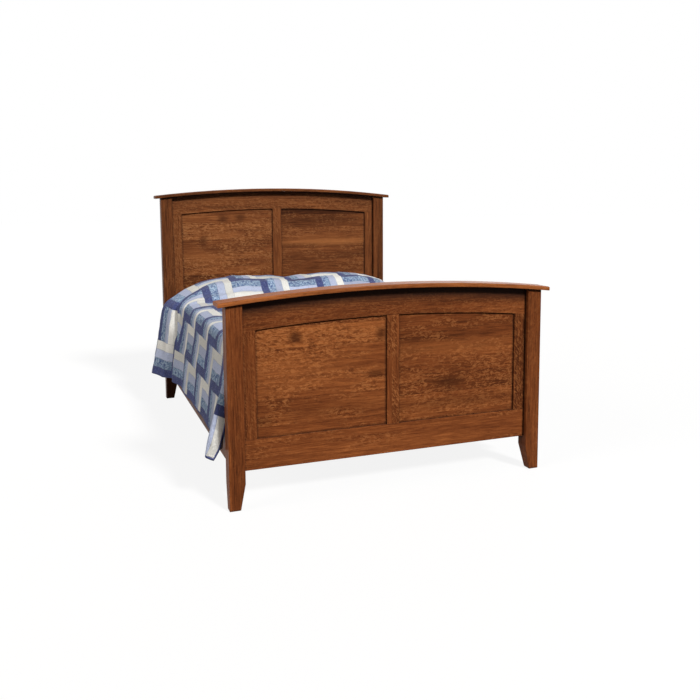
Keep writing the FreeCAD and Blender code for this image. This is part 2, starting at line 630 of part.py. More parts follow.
def buildSlotPlate(name, across, along, turn):
    # Let into a post, with its face flush. It faces the rail, towards +Y before the turn.
    plate = newBody(name)
    plate.Placement = FreeCAD.Placement(FreeCAD.Vector(), FreeCAD.Rotation(FreeCAD.Vector(0, 0, 1), turn))
    side, thickness = "plateWidth / 2", "plateThickness"
    signedSide, signedThickness = (side, thickness) if turn else (f"-{side}", f"-{thickness}")
    place(plate, f"{across} + {signedSide}", f"{along} + {signedThickness}", "railBottom + plateRise")
    pad(plate, "XZ", "0", "plateThickness", rectangle("0", "0", "plateWidth", "plateHeight"))
    half = "(hookThickness / 2 + slotPlay)"
    for number in range(2):
        neck = f"(firstHook + {number} * hookPitch)"
        slot = rectangle(f"plateWidth / 2 - {half}", neck, f"plateWidth / 2 + {half}", f"{neck} + slotHeight")
        pocket(plate, "XZ", "0", "plateThickness", slot)
    screws = [("plateWidth / 2", f"firstPlateScrew + {number} * plateScrewPitch") for number in range(2)]
    bore(plate, "XZ", "0", "plateThickness", screws, "screwRadius + boreGap")
    bore(plate, "XZ", "plateThickness - headThickness", "plateThickness", screws, "headRadius + boreGap")


railEnds = [(f"{end}_{side}", side, end) for end in ("foot", "head") for side in ("left", "right")]


def railEndPlace(side, end):
    # The middle of a side rail's end face, seen from above, and the turn of the hardware there.
    across = "(bedWidth / 2 - railInset - railThickness / 2)"
    along = "(bedLength / 2 - postSize)"
    return (across if side == "right" else f"(-{across})",
            along if end == "head" else f"(-{along})",
            180 if end == "head" else 0)


# ---- fasteners: groups of separate, identical solids ----

def cylinder(name, radius, height):
    shape = doc.addObject("Part::Cylinder", name)
    shape.setExpression("Radius", bound(radius))
    shape.setExpression("Height", bound(height))
    return shape


def stackedPin(name, wide, thin, spot, direction):
    # A wide disc on a thin shank. The disc's free face is at the spot and the shank points along direction.
    disc = cylinder(f"{name}_head", *wide)
    shank = cylinder(f"{name}_shank", thin[0], f"{wide[1]} + {thin[1]}")
    pin = doc.addObject("Part::Fuse", name)
    pin.Base = disc
    pin.Tool = shank
    turn = FreeCAD.Rotation(FreeCAD.Vector(0, 0, 1), FreeCAD.Vector(*direction))
    pin.Placement = FreeCAD.Placement(FreeCAD.Vector(), turn)
    place(pin, *spot)
    return pin


def newGroup(name, members):
    group = doc.addObject("Part::Compound", name)
    group.Label = name
    group.Links = members
    pieces.append(group)


def screwGroup(name, spots, length):
    head = ("headRadius", "headThickness")
    shank = ("screwRadius", f"{length} - headThickness")
    newGroup(name, [stackedPin(f"{name}_{index}", head, shank, spot, direction)
                    for index, (spot, direction) in enumerate(spots, start=1)])


def buildPlateScrews():
    spots = []
    for _, side, end in railEnds:
        across, along, _ = railEndPlace(side, end)
        towardsRail = 1 if end == "foot" else -1
        for number in range(2):
            up = f"railBottom + plateRise + firstPlateScrew + {number} * plateScrewPitch"
            spots.append(((across, along, up), (0, towardsRail, 0)))
            spots.append(((across, along, up), (0, -towardsRail, 0)))
    screwGroup("plate_screws", spots, "plateScrewLength")


def buildCleatScrews():
    face = "(bedWidth / 2 - railInset - railThickness - cleatSize - headThickness)"
    spots = []
    for sign in (-1, 1):
        for along in cleatScrewSpots():
            up = "railBottom + cleatRise + cleatSize / 2"
            spots.append(((f"{sign} * {face}", along, up), (sign, 0, 0)))
    screwGroup("cleat_screws", spots, "cleatScrewLength")


def buildSlatScrews():
    across = "(bedWidth / 2 - railInset - railThickness - cleatSize / 2)"
    spots = [((f"{sign} * {across}", along, deckHeight), (0, 0, -1))
             for along in slatSpots() for sign in (-1, 1)]
    spots += [(("0", slatSpots()[number - 1], deckHeight), (0, 0, -1)) for number in leggedSlats]
    screwGroup("slat_screws", spots, "slatScrewLength")


def buildGlides():
    reach = "(footWidth / 2)"
    corners = [(f"{x} * (bedWidth / 2 - {reach})", f"{y} * (bedLength / 2 - {reach})", "0")
               for x in (-1, 1) for y in (-1, 1)]
    corners += [("0", slatSpots()[number - 1], "0") for number in leggedSlats]
    disc, nail = ("glideRadius", "glideThickness"), ("pinRadius", "pinLength")
    newGroup("foot_glides", [stackedPin(f"foot_glides_{index}", disc, nail, spot, (0, 0, 1))
                             for index, spot in enumerate(corners, start=1)])


def buildCapDowels(boards):
    members = []
    for board in boards:
        posts = [(f"{side} * (bedWidth / 2 - postSize / 2)", "postSize / 2") for side in (-1, 1)]
        rails = [(str(offset), "frameSetback + frameThickness / 2") for offset in capDowelsInRail]
        for across, back in posts + rails:
            dowel = cylinder(f"cap_dowels_{len(members) + 1}", "dowelRadius", "dowelInWood + dowelInCap")
            level = board.capLine(f"(bedWidth / 2 + {across})")
            place(dowel, across, f"{board.front} + {back}", f"{level} - dowelInWood")
            members.append(dowel)
    newGroup("cap_dowels", members)


# ---- bedding: plain soft solids of the right size and place ----

def softBlock(name, bottom, height, corner, rounding):
    block = newBody(name)
    place(block, "-sleepWidth / 2", "-sleepLength / 2", bottom)
    pad(block, "XY", "0", height, rectangle("0", "0", "sleepWidth", "sleepLength"))
    ease(block, corner, lambda edge: runsAlong(edge, 2))
    if rounding:
        ease(block, rounding, lambda edge: not runsAlong(edge, 2))
    return block


def buildPillow(side):
    pillow = doc.addObject("Part::Ellipsoid", f"{side}_pillow")
    pillow.Label = f"{side}_pillow"
    pillow.Angle1 = -90
    radii = (("Radius1", "pillowHeight"), ("Radius2", "pillowLength"), ("Radius3", "pillowDepth"))
    for radius, size in radii:
        pillow.setExpression(radius, bound(f"{size} / 2"))
    sign = 1 if side == "right" else -1
    place(pillow, f"{sign} * pillowOffset", "pillowBack - bedLength / 2",
          f"{mattressTop} + softGap + pillowHeight / 2")
    pieces.append(pillow)


def offsetInwards(line, thickness):
    # A half outline's points moved in by the thickness, along the mean of their two edges' normals.
    inner = []
    for index, (across, up) in enumerate(line):
        before = line[max(index - 1, 0)]
        after = line[min(index + 1, len(line) - 1)]
        step = FreeCAD.Vector(after[0] - before[0], after[1] - before[1], 0).normalize()
        inner.append((across + step.y * thickness, up - step.x * thickness))
    return inner


def quiltWire(along, halfLine, thickness):
    # A closed outline across the bed at one place along it: the outer line, then the inner one.
    inner = offsetInwards(halfLine, thickness)
    ring = [(-across, up) for across, up in reversed(halfLine[1:])] + halfLine
    ring += list(reversed(inner)) + [(-across, up) for across, up in inner[1:]]
    points = [FreeCAD.Vector(across, along, up) for across, up in ring]
    return Part.makePolygon(points + points[:1])


def mixOutlines(onTop, onSide, top):
    # The weighted mean of the outlines. Between top and sides the shares change over point by point.
    outlines = list(quiltOutlines.values())
    mixed = []
    for index in range(len(outlines[0])):
        part = min(max((index - topCorners + 1) / (sideCorners - topCorners + 1), 0), 1)
        weights = [a + (b - a) * part for a, b in zip(onTop, onSide)]
        across, up = (sum(weight * outline[index][axis] for weight, outline in zip(weights, outlines))
                      for axis in (0, 1))
        mixed.append((across, top + up))
    return mixed


def quiltCornerSolid(side, share, foot, top):
    # A corner of cloth that hangs loose behind a footboard post, folded round on itself.
    wires = []
    for level, drop, fold, hem in quiltCorner:
        reach = {"fold": share * (fold - drop), "hem": share * (hem - drop)}
        points = [FreeCAD.Vector(side * (drop + part * reach[to] + step), foot + along, top + level)
                  for to, part, step, along in cornerOuterLine + cornerInnerLine]
        wires.append(Part.makePolygon(points + points[:1]))
    return Part.makeLoft(wires, True, True)


def buildQuilt():
    top = value(mattressTop) + value("softGap") + value("quiltThickness")
    front = value("-bedLength / 2")
    foot = front + value("postSize + quiltFootGap")
    thickness = value("quiltThickness")
    wires = [quiltWire(front + value(along), mixOutlines(onTop, onSide, top), thickness)
             for along, onTop, onSide in quiltSections]
    drape = Part.makeLoft(wires, True, True)
    upperLine = [(across, top + up) for across, up in quiltOutlines["mattress"][:sideCorners + 1]]
    ends = (foot, foot + value("quiltCornerStart + quiltJoin"))
    footPart = Part.makeLoft([quiltWire(along, upperLine, thickness) for along in ends], True, True)
    width, tuck = value("quiltTuckWidth"), value("quiltTuck")
    lowest = max(up for _, up in upperLine) - tuck
    hanging = Part.makeBox(width, thickness, tuck - value("quiltJoin"), FreeCAD.Vector(-width / 2, foot, lowest))
    corners = [quiltCornerSolid(side, share, foot, top) for side, share in ((-1, 1), (1, value("rightCornerShare")))]
    quilt = doc.addObject("Part::Feature", "quilt")
    quilt.Shape = drape.multiFuse([footPart, hanging] + corners).removeSplitter()
    quilt.Label = "quilt"
    pieces.append(quilt)


# ---- the whole bed ----

footboard = Board("footboard", "(-bedLength / 2)", "footPostTop", "footTopRailDepth",
                  "footBottomRail", "back")
headboard = Board("headboard", "(bedLength / 2 - postSize)", "headPostTop", "headTopRailDepth",
                  "headBottomRail", "front")
buildBoard(footboard)
buildBoard(headboard)
for side in ("left", "right"):
    buildSideRail(side)
    buildCleat(side)
for number, along in enumerate(slatSpots(), start=1):
    buildSlat(number, along)
for number, slat in enumerate(leggedSlats, start=1):
    buildCentreLeg(number, slatSpots()[slat - 1])
for name, side, end in railEnds:
    buildHookPlate(f"{name}_hook_plate", *railEndPlace(side, end))
    buildSlotPlate(f"{name}_slot_plate", *railEndPlace(side, end))
buildPlateScrews()
buildCleatScrews()
buildSlatScrews()
buildGlides()
buildCapDowels([footboard, headboard])
softBlock("foundation", deckHeight, "foundationHeight", "foundationCorner", None)
softBlock("mattress", mattressBottom, "mattressHeight", "mattressCorner", "mattressRound")
buildPillow("left")
buildPillow("right")
buildQuilt()
doc.recompute()

for item in doc.Objects:
    if "Invalid" in item.State or "Error" in item.State:
        raise RuntimeError(f"{item.Name} failed: {item.State}")
    if item.TypeId == "PartDesign::Pocket":
        removed = item.BaseFeature.Shape.Volume - item.Shape.Volume
        if removed <= 0:
            raise RuntimeError(f"{item.Name} cuts nothing")
for piece in pieces:
    if piece.Shape.isNull() or not piece.Shape.isValid():
        raise RuntimeError(f"{piece.Label} has no valid shape")

os.makedirs("parts", exist_ok=True)
for piece in pieces:
    piece.Shape.exportStep(f"parts/{piece.Label}.step")
print(f"{len(pieces)} nodes written")
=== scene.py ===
import bisect
import bmesh
import bpy
import math
from mathutils import Matrix, Vector, noise


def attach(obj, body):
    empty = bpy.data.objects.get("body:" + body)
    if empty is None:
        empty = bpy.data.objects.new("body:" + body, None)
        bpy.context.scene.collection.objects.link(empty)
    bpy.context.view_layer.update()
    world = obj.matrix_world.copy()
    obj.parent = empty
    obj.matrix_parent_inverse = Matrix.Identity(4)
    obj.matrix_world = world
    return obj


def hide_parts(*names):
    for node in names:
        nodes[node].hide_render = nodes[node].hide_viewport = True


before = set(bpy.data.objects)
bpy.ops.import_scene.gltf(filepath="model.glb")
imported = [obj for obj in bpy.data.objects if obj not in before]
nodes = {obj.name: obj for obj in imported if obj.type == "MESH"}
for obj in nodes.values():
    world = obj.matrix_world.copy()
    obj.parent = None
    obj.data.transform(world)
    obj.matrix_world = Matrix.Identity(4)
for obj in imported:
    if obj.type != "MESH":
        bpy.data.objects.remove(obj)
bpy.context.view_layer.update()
print("frame loaded")


photoView = {
    "place": (-1.3998, -4.3877, 1.3598),
    "pitch": -6.709, "roll": -0.086, "yaw": -21.619,
    "lens": 42.32, "sensor": 36,
    "shift": (-0.0418, -0.0921),
    "farthest": 200,
}
studio = {
    "floorSize": 60.0, "floorGap": 0.0005,
    "floorGrey": 0.10,          # what the bed sees of the floor
    "floorShade": 0.12,         # how much of the shadow the camera sees
    "skyLevel": 0.075,
    "key": {"from": (1.5, -5.0, 3.9), "spread": 9.0, "level": 1.25, "colour": (1.0, 0.985, 0.965)},
    "fill": {"from": (-6.0, -1.2, 2.2), "spread": 35.0, "level": 0.60, "colour": (1.0, 0.93, 0.86)},
    "rear": {"from": (3.0, 5.0, 2.2), "spread": 40.0, "level": 0.20, "colour": (0.86, 0.94, 1.0)},
}


def linkObject(name, data):
    piece = bpy.data.objects.new(name, data)
    bpy.context.scene.collection.objects.link(piece)
    return piece


def linkMesh(name, mesh):
    mesh.shade_smooth()
    return linkObject(name, mesh)


def meshFrom(form, name):
    mesh = bpy.data.meshes.new(name)
    form.to_mesh(mesh)
    form.free()
    return mesh


def addCamera():
    lens = bpy.data.cameras.new("photoView")
    lens.sensor_width = photoView["sensor"]
    lens.lens = photoView["lens"]
    lens.shift_x, lens.shift_y = photoView["shift"]
    lens.clip_end = photoView["farthest"]
    viewer = linkObject("photoView", lens)
    turn = Matrix.Rotation(math.radians(photoView["yaw"]), 4, "Z")
    turn = turn @ Matrix.Rotation(math.radians(90 + photoView["pitch"]), 4, "X")
    turn = turn @ Matrix.Rotation(math.radians(photoView["roll"]), 4, "Z")
    viewer.matrix_world = Matrix.Translation(photoView["place"]) @ turn
    bpy.context.scene.camera = viewer


def addLamp(name):
    values = studio[name]
    light = bpy.data.lights.new(name, "SUN")
    light.angle = math.radians(values["spread"])
    light.energy = values["level"] * math.pi
    light.color = values["colour"]
    lamp = linkObject(name, light)
    lamp.location = values["from"]
    lamp.rotation_euler = (-Vector(values["from"])).to_track_quat("-Z", "Y").to_euler()


def connect(tree, socket, value):
    if isinstance(value, bpy.types.NodeSocket):
        tree.links.new(value, socket)
    elif value is not None:
        socket.default_value = value


def put(tree, kind, inputs=None, **settings):
    # A node with its settings, then its inputs by name or number.
    node = tree.nodes.new(kind)
    for name, value in settings.items():
        setattr(node, name, value)
    for name, value in (inputs or {}).items():
        connect(tree, node.inputs[name], value)
    return node


def calc(tree, operation, *values):
    return put(tree, "ShaderNodeMath", dict(enumerate(values)), operation=operation).outputs[0]


def calcVector(tree, operation, *values):
    return put(tree, "ShaderNodeVectorMath", dict(enumerate(values)), operation=operation).outputs[0]


def blendColour(tree, factor, first, second):
    # Each colour is a socket or three numbers.
    first, second = [(*colour, 1) if isinstance(colour, tuple) else colour for colour in (first, second)]
    return put(tree, "ShaderNodeMix", {0: factor, 6: first, 7: second}, data_type="RGBA").outputs[2]


def splitAxes(tree, vector):
    return put(tree, "ShaderNodeSeparateXYZ", {0: vector}).outputs


def allAxes(tree, value):
    return put(tree, "ShaderNodeCombineXYZ", {0: value, 1: value, 2: value}).outputs[0]


def fade(tree, value, low, high, start=0.0, end=1.0):
    inputs = {"Value": value, "From Min": low, "From Max": high, "To Min": start, "To Max": end}
    return put(tree, "ShaderNodeMapRange", inputs, interpolation_type="SMOOTHSTEP").outputs[0]


def grainNoise(tree, vector, waves, detail=3.0, roughness=0.55, distortion=0.0):
    # Noise with its own number of waves per metre on each axis.
    inputs = {"Vector": calcVector(tree, "MULTIPLY", vector, waves), "Scale": 1.0, "Detail": detail,
              "Roughness": roughness, "Distortion": distortion}
    return put(tree, "ShaderNodeTexNoise", inputs).outputs["Fac"]


def ramp(tree, factor, stops):
    node = put(tree, "ShaderNodeValToRGB", {0: factor})
    elements = node.color_ramp.elements
    while len(elements) < len(stops):
        elements.new(0.5)
    for element, (position, colour) in zip(elements, stops):
        element.position = position
        element.color = (*colour, 1.0)
    return node.outputs[0]


def newGroup(name, inputs, outputs):
    tree = bpy.data.node_groups.new(name, "ShaderNodeTree")
    for label, kind, start in inputs:
        socket = tree.interface.new_socket(label, in_out="INPUT", socket_type=f"NodeSocket{kind}")
        if start is not None:
            socket.default_value = start
    for label, kind in outputs:
        tree.interface.new_socket(label, in_out="OUTPUT", socket_type=f"NodeSocket{kind}")
    source = tree.nodes.new("NodeGroupInput").outputs
    drain = tree.nodes.new("NodeGroupOutput").inputs
    return tree, source, drain


def useGroup(tree, group, inputs):
    node = tree.nodes.new("ShaderNodeGroup")
    node.node_tree = group
    for name, value in inputs.items():
        connect(tree, node.inputs[name], value)
    return node.outputs


def newMaterial(name):
    material = bpy.data.materials.new(name)
    material.use_nodes = True
    tree = material.node_tree
    tree.nodes.clear()
    shader = put(tree, "ShaderNodeBsdfPrincipled")
    put(tree, "ShaderNodeOutputMaterial", {"Surface": shader.outputs[0]})
    return material, tree, shader.inputs


def addBump(tree, shader, height, strength, distance, normal=None):
    inputs = {"Height": height, "Strength": strength, "Distance": distance, "Normal": normal}
    bump = put(tree, "ShaderNodeBump", inputs)
    connect(tree, shader["Normal"], bump.outputs[0])


def objectPlace(tree, turn=(0, 0, 0), shift=(0, 0, 0)):
    place = put(tree, "ShaderNodeTexCoord").outputs["Object"]
    inputs = {"Vector": place, "Location": shift, "Rotation": [math.radians(angle) for angle in turn]}
    return put(tree, "ShaderNodeMapping", inputs).outputs[0]


def whereSeen(tree):
    # One where the camera looks, straight on or through a reflection or glass.
    paths = put(tree, "ShaderNodeLightPath").outputs
    seen = calc(tree, "MAXIMUM", paths["Is Camera Ray"], paths["Is Glossy Ray"])
    return calc(tree, "MAXIMUM", seen, paths["Is Transmission Ray"])


def addFloor():
    form = bmesh.new()
    bmesh.ops.create_grid(form, x_segments=1, y_segments=1, size=studio["floorSize"] / 2)
    bmesh.ops.translate(form, verts=form.verts, vec=(0, 0, -studio["floorGap"]))
    floor = linkObject("studioFloor", meshFrom(form, "studioFloor"))
    material = bpy.data.materials.new("studioFloor")
    material.use_nodes = True
    tree = material.node_tree
    tree.nodes.clear()
    grey = studio["floorGrey"]
    plain = put(tree, "ShaderNodeBsdfDiffuse", {"Color": (grey, grey, grey, 1)})
    pale = put(tree, "ShaderNodeBsdfDiffuse", {"Color": (0.97, 0.97, 0.97, 1)})
    white = put(tree, "ShaderNodeEmission", {"Color": (1, 1, 1, 1), "Strength": 1.0})
    shown = put(tree, "ShaderNodeMixShader", {
        0: studio["floorShade"], 1: white.outputs[0], 2: pale.outputs[0]})
    mixed = put(tree, "ShaderNodeMixShader", {0: whereSeen(tree), 1: plain.outputs[0], 2: shown.outputs[0]})
    put(tree, "ShaderNodeOutputMaterial", {"Surface": mixed.outputs[0]})
    floor.data.materials.append(material)


def setWorld():
    world = bpy.data.worlds.new("studioWorld")
    world.use_nodes = True
    bpy.context.scene.world = world
    tree = world.node_tree
    tree.nodes.clear()
    strength = fade(tree, whereSeen(tree), 0.0, 1.0, studio["skyLevel"], 1.0)
    sky = put(tree, "ShaderNodeBackground", {"Color": (1, 1, 1, 1), "Strength": strength})
    put(tree, "ShaderNodeOutputWorld", {"Surface": sky.outputs[0]})
    bpy.context.scene.view_settings.view_transform = "Standard"


addCamera()
addFloor()
setWorld()
for lampName in ("key", "fill", "rear"):
    addLamp(lampName)
print("camera, floor and lights placed")


oak = {
    "dark": (0.040, 0.0110, 0.0040),
    "middle": (0.158, 0.0440, 0.0128),
    "light": (0.336, 0.1080, 0.0300),
    "fleck": (0.370, 0.1380, 0.0440),
    "pore": (0.020, 0.008, 0.004),
    "stainAndShade": (0.010, 0.0065, 0.0055),
    "headTint": (0.965, 1.11, 1.26),    # the headboard is a little browner than the footboard
    "roughness": 0.40, "glossScale": 5.0, "glossSpread": 0.08, "poreRoughness": 0.25, "specular": 0.03,
    "relief": 0.30, "reliefDepth": 0.0006,
    "staveWidth": 0.105, "staveSpread": 0.45,
    "glueLine": (0.0004, 0.0016), "glueShade": 0.45, "glueRelief": 0.4,
    # Pairs below say between which values of its noise a mark fades in.
    "tones": (0.12, 0.52, 0.92),            # where the tone is dark, middle and light
    "toneShares": {"broad": 0.60, "growth": 0.56, "streaks": 0.50, "fine": 0.80},
    "poreFade": (0.60, 0.72), "poreShade": 0.62,
    "fleckFade": (0.50, 0.60), "fleckPatch": (0.34, 0.56), "fleckShow": 0.60, "fleckLift": 0.026,
    "shadeFade": (0.36, 0.47), "shadePatch": (0.36, 0.58), "fleckShade": 0.52,
    "patchFade": (0.15, 1.35), "patchWarp": 1.3,
    "edgeRadius": 0.0016, "edgeMark": 0.30,
    "cornerReach": 0.013, "cornerStainAndShade": 0.75,
}
# The noises of the figure: waves per metre along the grain, into the board and across the grain, then
# detail, roughness and distortion.
oakNoise = {
    "broad": ((1.1, 9.0, 9.0), 3.0, 0.55, 0.4),
    "growth": ((1.6, 70.0, 70.0), 5.0, 0.64, 0.10),
    "streaks": ((8.0, 170.0, 170.0), 3.0, 0.6, 0.15),
    "fine": ((12.0, 300.0, 300.0), 3.0, 0.6),
    "pores": ((55.0, 1150.0, 1150.0), 1.0, 0.5),
    "bend": ((36.0, 12.0, 44.0), 2.0, 0.5),
    "ribbons": ((48.0, 12.0, 150.0), 2.0, 0.60, 0.75),
    "patches": ((4.2, 3.0, 13.0), 2.0, 0.6, 0.4),
    "warp": ((9.0, 9.0, 34.0), 3.0, 0.6),
}


def makeOakGroup():
    inputs = [("Vector", "Vector", None), ("Seed", "Float", 0.0), ("Stave Width", "Float", 10.0),
              ("Stave Contrast", "Float", 0.0), ("Flecks", "Float", 0.5), ("Slant", "Float", 0.3),
              ("Tone", "Float", 0.0)]
    outputs = [("Color", "Color"), ("Height", "Float"), ("Pores", "Float")]
    tree, given, result = newGroup("oakGrain", inputs, outputs)

    def figure(name, vector):
        return grainNoise(tree, vector, *oakNoise[name])

    def seeded(factor, random, spread):
        return calc(tree, "MULTIPLY_ADD", random, spread, calc(tree, "MULTIPLY", given["Seed"], factor))

    # Along the grain is X, across it Z, and into the board Y.
    axes = splitAxes(tree, given["Vector"])
    across = calc(tree, "DIVIDE", axes["Z"], given["Stave Width"])
    across = calc(tree, "ADD", across, calc(tree, "MULTIPLY", given["Seed"], 3.37))
    cells = {"W": across, "Scale": 1.0, "Randomness": oak["staveSpread"]}
    staves = put(tree, "ShaderNodeTexVoronoi", cells, voronoi_dimensions="1D")
    random = put(tree, "ShaderNodeSeparateColor", {0: staves.outputs["Color"]}).outputs
    joint = put(tree, "ShaderNodeTexVoronoi", cells, voronoi_dimensions="1D", feature="DISTANCE_TO_EDGE")
    joint = calc(tree, "MULTIPLY", joint.outputs["Distance"], given["Stave Width"])
    glueLine = fade(tree, joint, *oak["glueLine"], 1.0, 0.0)
    glueLine = calc(tree, "MULTIPLY", glueLine, fade(tree, given["Stave Contrast"], 0.0, 0.5))
    seedShift = put(tree, "ShaderNodeCombineXYZ", {
        0: seeded(5.31, random[0], 9.0),
        1: calc(tree, "MULTIPLY", given["Seed"], 1.73),
        2: seeded(2.9, random[1], 4.0)}).outputs[0]
    place = calcVector(tree, "ADD", given["Vector"], seedShift)
    pores = fade(tree, figure("pores", place), *oak["poreFade"])

    # Ray flecks: thin wavy curls that follow the grain, or cross it at the slant, in patches.
    axes = splitAxes(tree, place)
    lifted = calc(tree, "MULTIPLY_ADD", axes["X"], given["Slant"], axes["Z"])
    lifted = calc(tree, "MULTIPLY_ADD", figure("bend", place), oak["fleckLift"], lifted)
    ribbonPlace = put(tree, "ShaderNodeCombineXYZ", {0: axes["X"], 1: axes["Y"], 2: lifted}).outputs[0]
    ribbons = figure("ribbons", ribbonPlace)
    unevenStaves = calc(tree, "MULTIPLY_ADD", random[2], 0.22, -0.11)
    patches = calc(tree, "ADD", figure("patches", place), unevenStaves)
    fleck = fade(tree, ribbons, *oak["fleckFade"])
    fleck = calc(tree, "MULTIPLY", fleck, fade(tree, patches, *oak["fleckPatch"]))
    fleck = calc(tree, "MULTIPLY", fleck, given["Flecks"])

    tone, fine = 0.5, figure("fine", place)
    for name, share in oak["toneShares"].items():
        lines = fine if name == "fine" else figure(name, place)
        tone = calc(tree, "MULTIPLY_ADD", calc(tree, "SUBTRACT", lines, 0.5), share, tone)
    staveTone = calc(tree, "MULTIPLY", calc(tree, "SUBTRACT", random[0], 0.5), given["Stave Contrast"])
    tone = calc(tree, "ADD", calc(tree, "ADD", tone, staveTone), given["Tone"])
    colour = ramp(tree, tone, list(zip(oak["tones"], (oak["dark"], oak["middle"], oak["light"]))))
    colour = blendColour(tree, calc(tree, "MULTIPLY", fleck, oak["fleckShow"]), colour, oak["fleck"])
    shadeSide = fade(tree, ribbons, *oak["shadeFade"], 1.0, 0.0)
    for factor in (fade(tree, patches, *oak["shadePatch"]), given["Flecks"], oak["fleckShade"]):
        shadeSide = calc(tree, "MULTIPLY", shadeSide, factor)
    colour = blendColour(tree, shadeSide, colour, oak["dark"])
    dark = calc(tree, "MULTIPLY", glueLine, oak["glueShade"])
    dark = calc(tree, "MAXIMUM", calc(tree, "MULTIPLY", pores, oak["poreShade"]), dark)
    colour = blendColour(tree, dark, colour, oak["pore"])

    height = calc(tree, "MULTIPLY_ADD", fine, 0.35, calc(tree, "MULTIPLY", fleck, 0.25))
    height = calc(tree, "SUBTRACT", height, pores)
    height = calc(tree, "SUBTRACT", height, calc(tree, "MULTIPLY", glueLine, oak["glueRelief"]))
    connect(tree, result["Color"], colour)
    connect(tree, result["Height"], height)
    connect(tree, result["Pores"], pores)
    return tree


# Pairs say between which values a mask fades in.
masks = {
    "edgeTurn": (0.80, 0.995), "edgeBreak": (0.36, 0.62), "edgeNoise": ((28.0, 28.0, 28.0), 3.0, 0.6),
    "cloud": (0.30, 0.70),
    "cornerShut": (0.60, 0.99), "cornerBreak": (0.30, 0.66), "cornerNoise": ((22.0, 40.0, 40.0), 3.0, 0.6),
}


def makeWearGroup():
    # Where an edge turns, from the difference between the rounded and the plain normal.
    tree, given, result = newGroup("edgeMark", [("Radius", "Float", 0.002), ("Vector", "Vector", None)],
                                   [("Mask", "Float"), ("Normal", "Vector")])
    rounded = put(tree, "ShaderNodeBevel", {"Radius": given["Radius"]}, samples=4).outputs[0]
    plain = put(tree, "ShaderNodeNewGeometry").outputs["Normal"]
    product = put(tree, "ShaderNodeVectorMath", {0: rounded, 1: plain}, operation="DOT_PRODUCT")
    turned = fade(tree, product.outputs["Value"], *masks["edgeTurn"], 1.0, 0.0)
    broken = fade(tree, grainNoise(tree, given["Vector"], *masks["edgeNoise"]), *masks["edgeBreak"])
    connect(tree, result["Mask"], calc(tree, "MULTIPLY", turned, broken))
    connect(tree, result["Normal"], rounded)
    return tree


def makeGlossGroup():
    # A soft uneven cloud that varies the gloss.
    tree, given, result = newGroup("unevenGloss", [("Vector", "Vector", None), ("Scale", "Float", 6.0)],
                                   [("Mask", "Float")])
    scaled = calcVector(tree, "MULTIPLY", given["Vector"], allAxes(tree, given["Scale"]))
    cloud = put(tree, "ShaderNodeTexNoise", {"Vector": scaled, "Scale": 1.0, "Detail": 4.0}).outputs["Fac"]
    connect(tree, result["Mask"], fade(tree, cloud, *masks["cloud"]))
    return tree


def makeCornerGroup():
    # Stain gathers in the inner corners, where pieces meet, and shade is painted there too.
    inputs = [("Distance", "Float", 0.012), ("Vector", "Vector", None)]
    tree, given, result = newGroup("cornerStainAndShade", inputs, [("Mask", "Float")])
    openness = put(tree, "ShaderNodeAmbientOcclusion", {"Distance": given["Distance"]}, samples=6)
    shut = fade(tree, openness.outputs["AO"], *masks["cornerShut"], 1.0, 0.0)
    broken = grainNoise(tree, given["Vector"], *masks["cornerNoise"])
    broken = fade(tree, broken, *masks["cornerBreak"], 0.70, 1.0)
    connect(tree, result["Mask"], calc(tree, "MULTIPLY", shut, broken))
    return tree


oakGrain = makeOakGroup()
edgeMark = makeWearGroup()
cornerStainAndShade = makeCornerGroup()
unevenGloss = makeGlossGroup()
grainTurns = {"X": (0, 0, 0), "Y": (0, 0, -90), "Z": (0, 90, 0)}


def unevenRoughness(tree, place, finish, middle):
    cloud = useGroup(tree, unevenGloss, {"Vector": place, "Scale": finish["glossScale"]})["Mask"]
    spread = finish["glossSpread"]
    return calc(tree, "MULTIPLY_ADD", cloud, spread, middle - spread / 2)


def belowArch(tree, place, crest):
    # How far a place is below the cap's underside.
    twiceRadius = (arch["chord"] ** 2 / 4 + arch["rise"] ** 2) / arch["rise"]
    axes = splitAxes(tree, place)
    squared = calc(tree, "MULTIPLY", axes["X"], axes["X"])
    underside = calc(tree, "MULTIPLY_ADD", squared, -1 / twiceRadius, crest)
    return calc(tree, "SUBTRACT", underside, axes["Z"])


def addPatches(tree, patches, place, along, colour):
    warp = calc(tree, "SUBTRACT", grainNoise(tree, along, *oakNoise["warp"]), 0.5)
    for across, up, halfWidth, halfHeight, strength in patches:
        local = put(tree, "ShaderNodeMapping", {
            "Vector": place, "Location": (-across / halfWidth, 0, -up / halfHeight),
            "Scale": (1 / halfWidth, 0, 1 / halfHeight)}).outputs[0]
        reach = put(tree, "ShaderNodeVectorMath", {0: local}, operation="LENGTH").outputs["Value"]
        reach = calc(tree, "MULTIPLY_ADD", warp, oak["patchWarp"], reach)
        mask = calc(tree, "MULTIPLY", fade(tree, reach, *oak["patchFade"], 1.0, 0.0), abs(strength))
        colour = blendColour(tree, mask, colour, oak["dark"] if strength > 0 else oak["light"])
    return colour


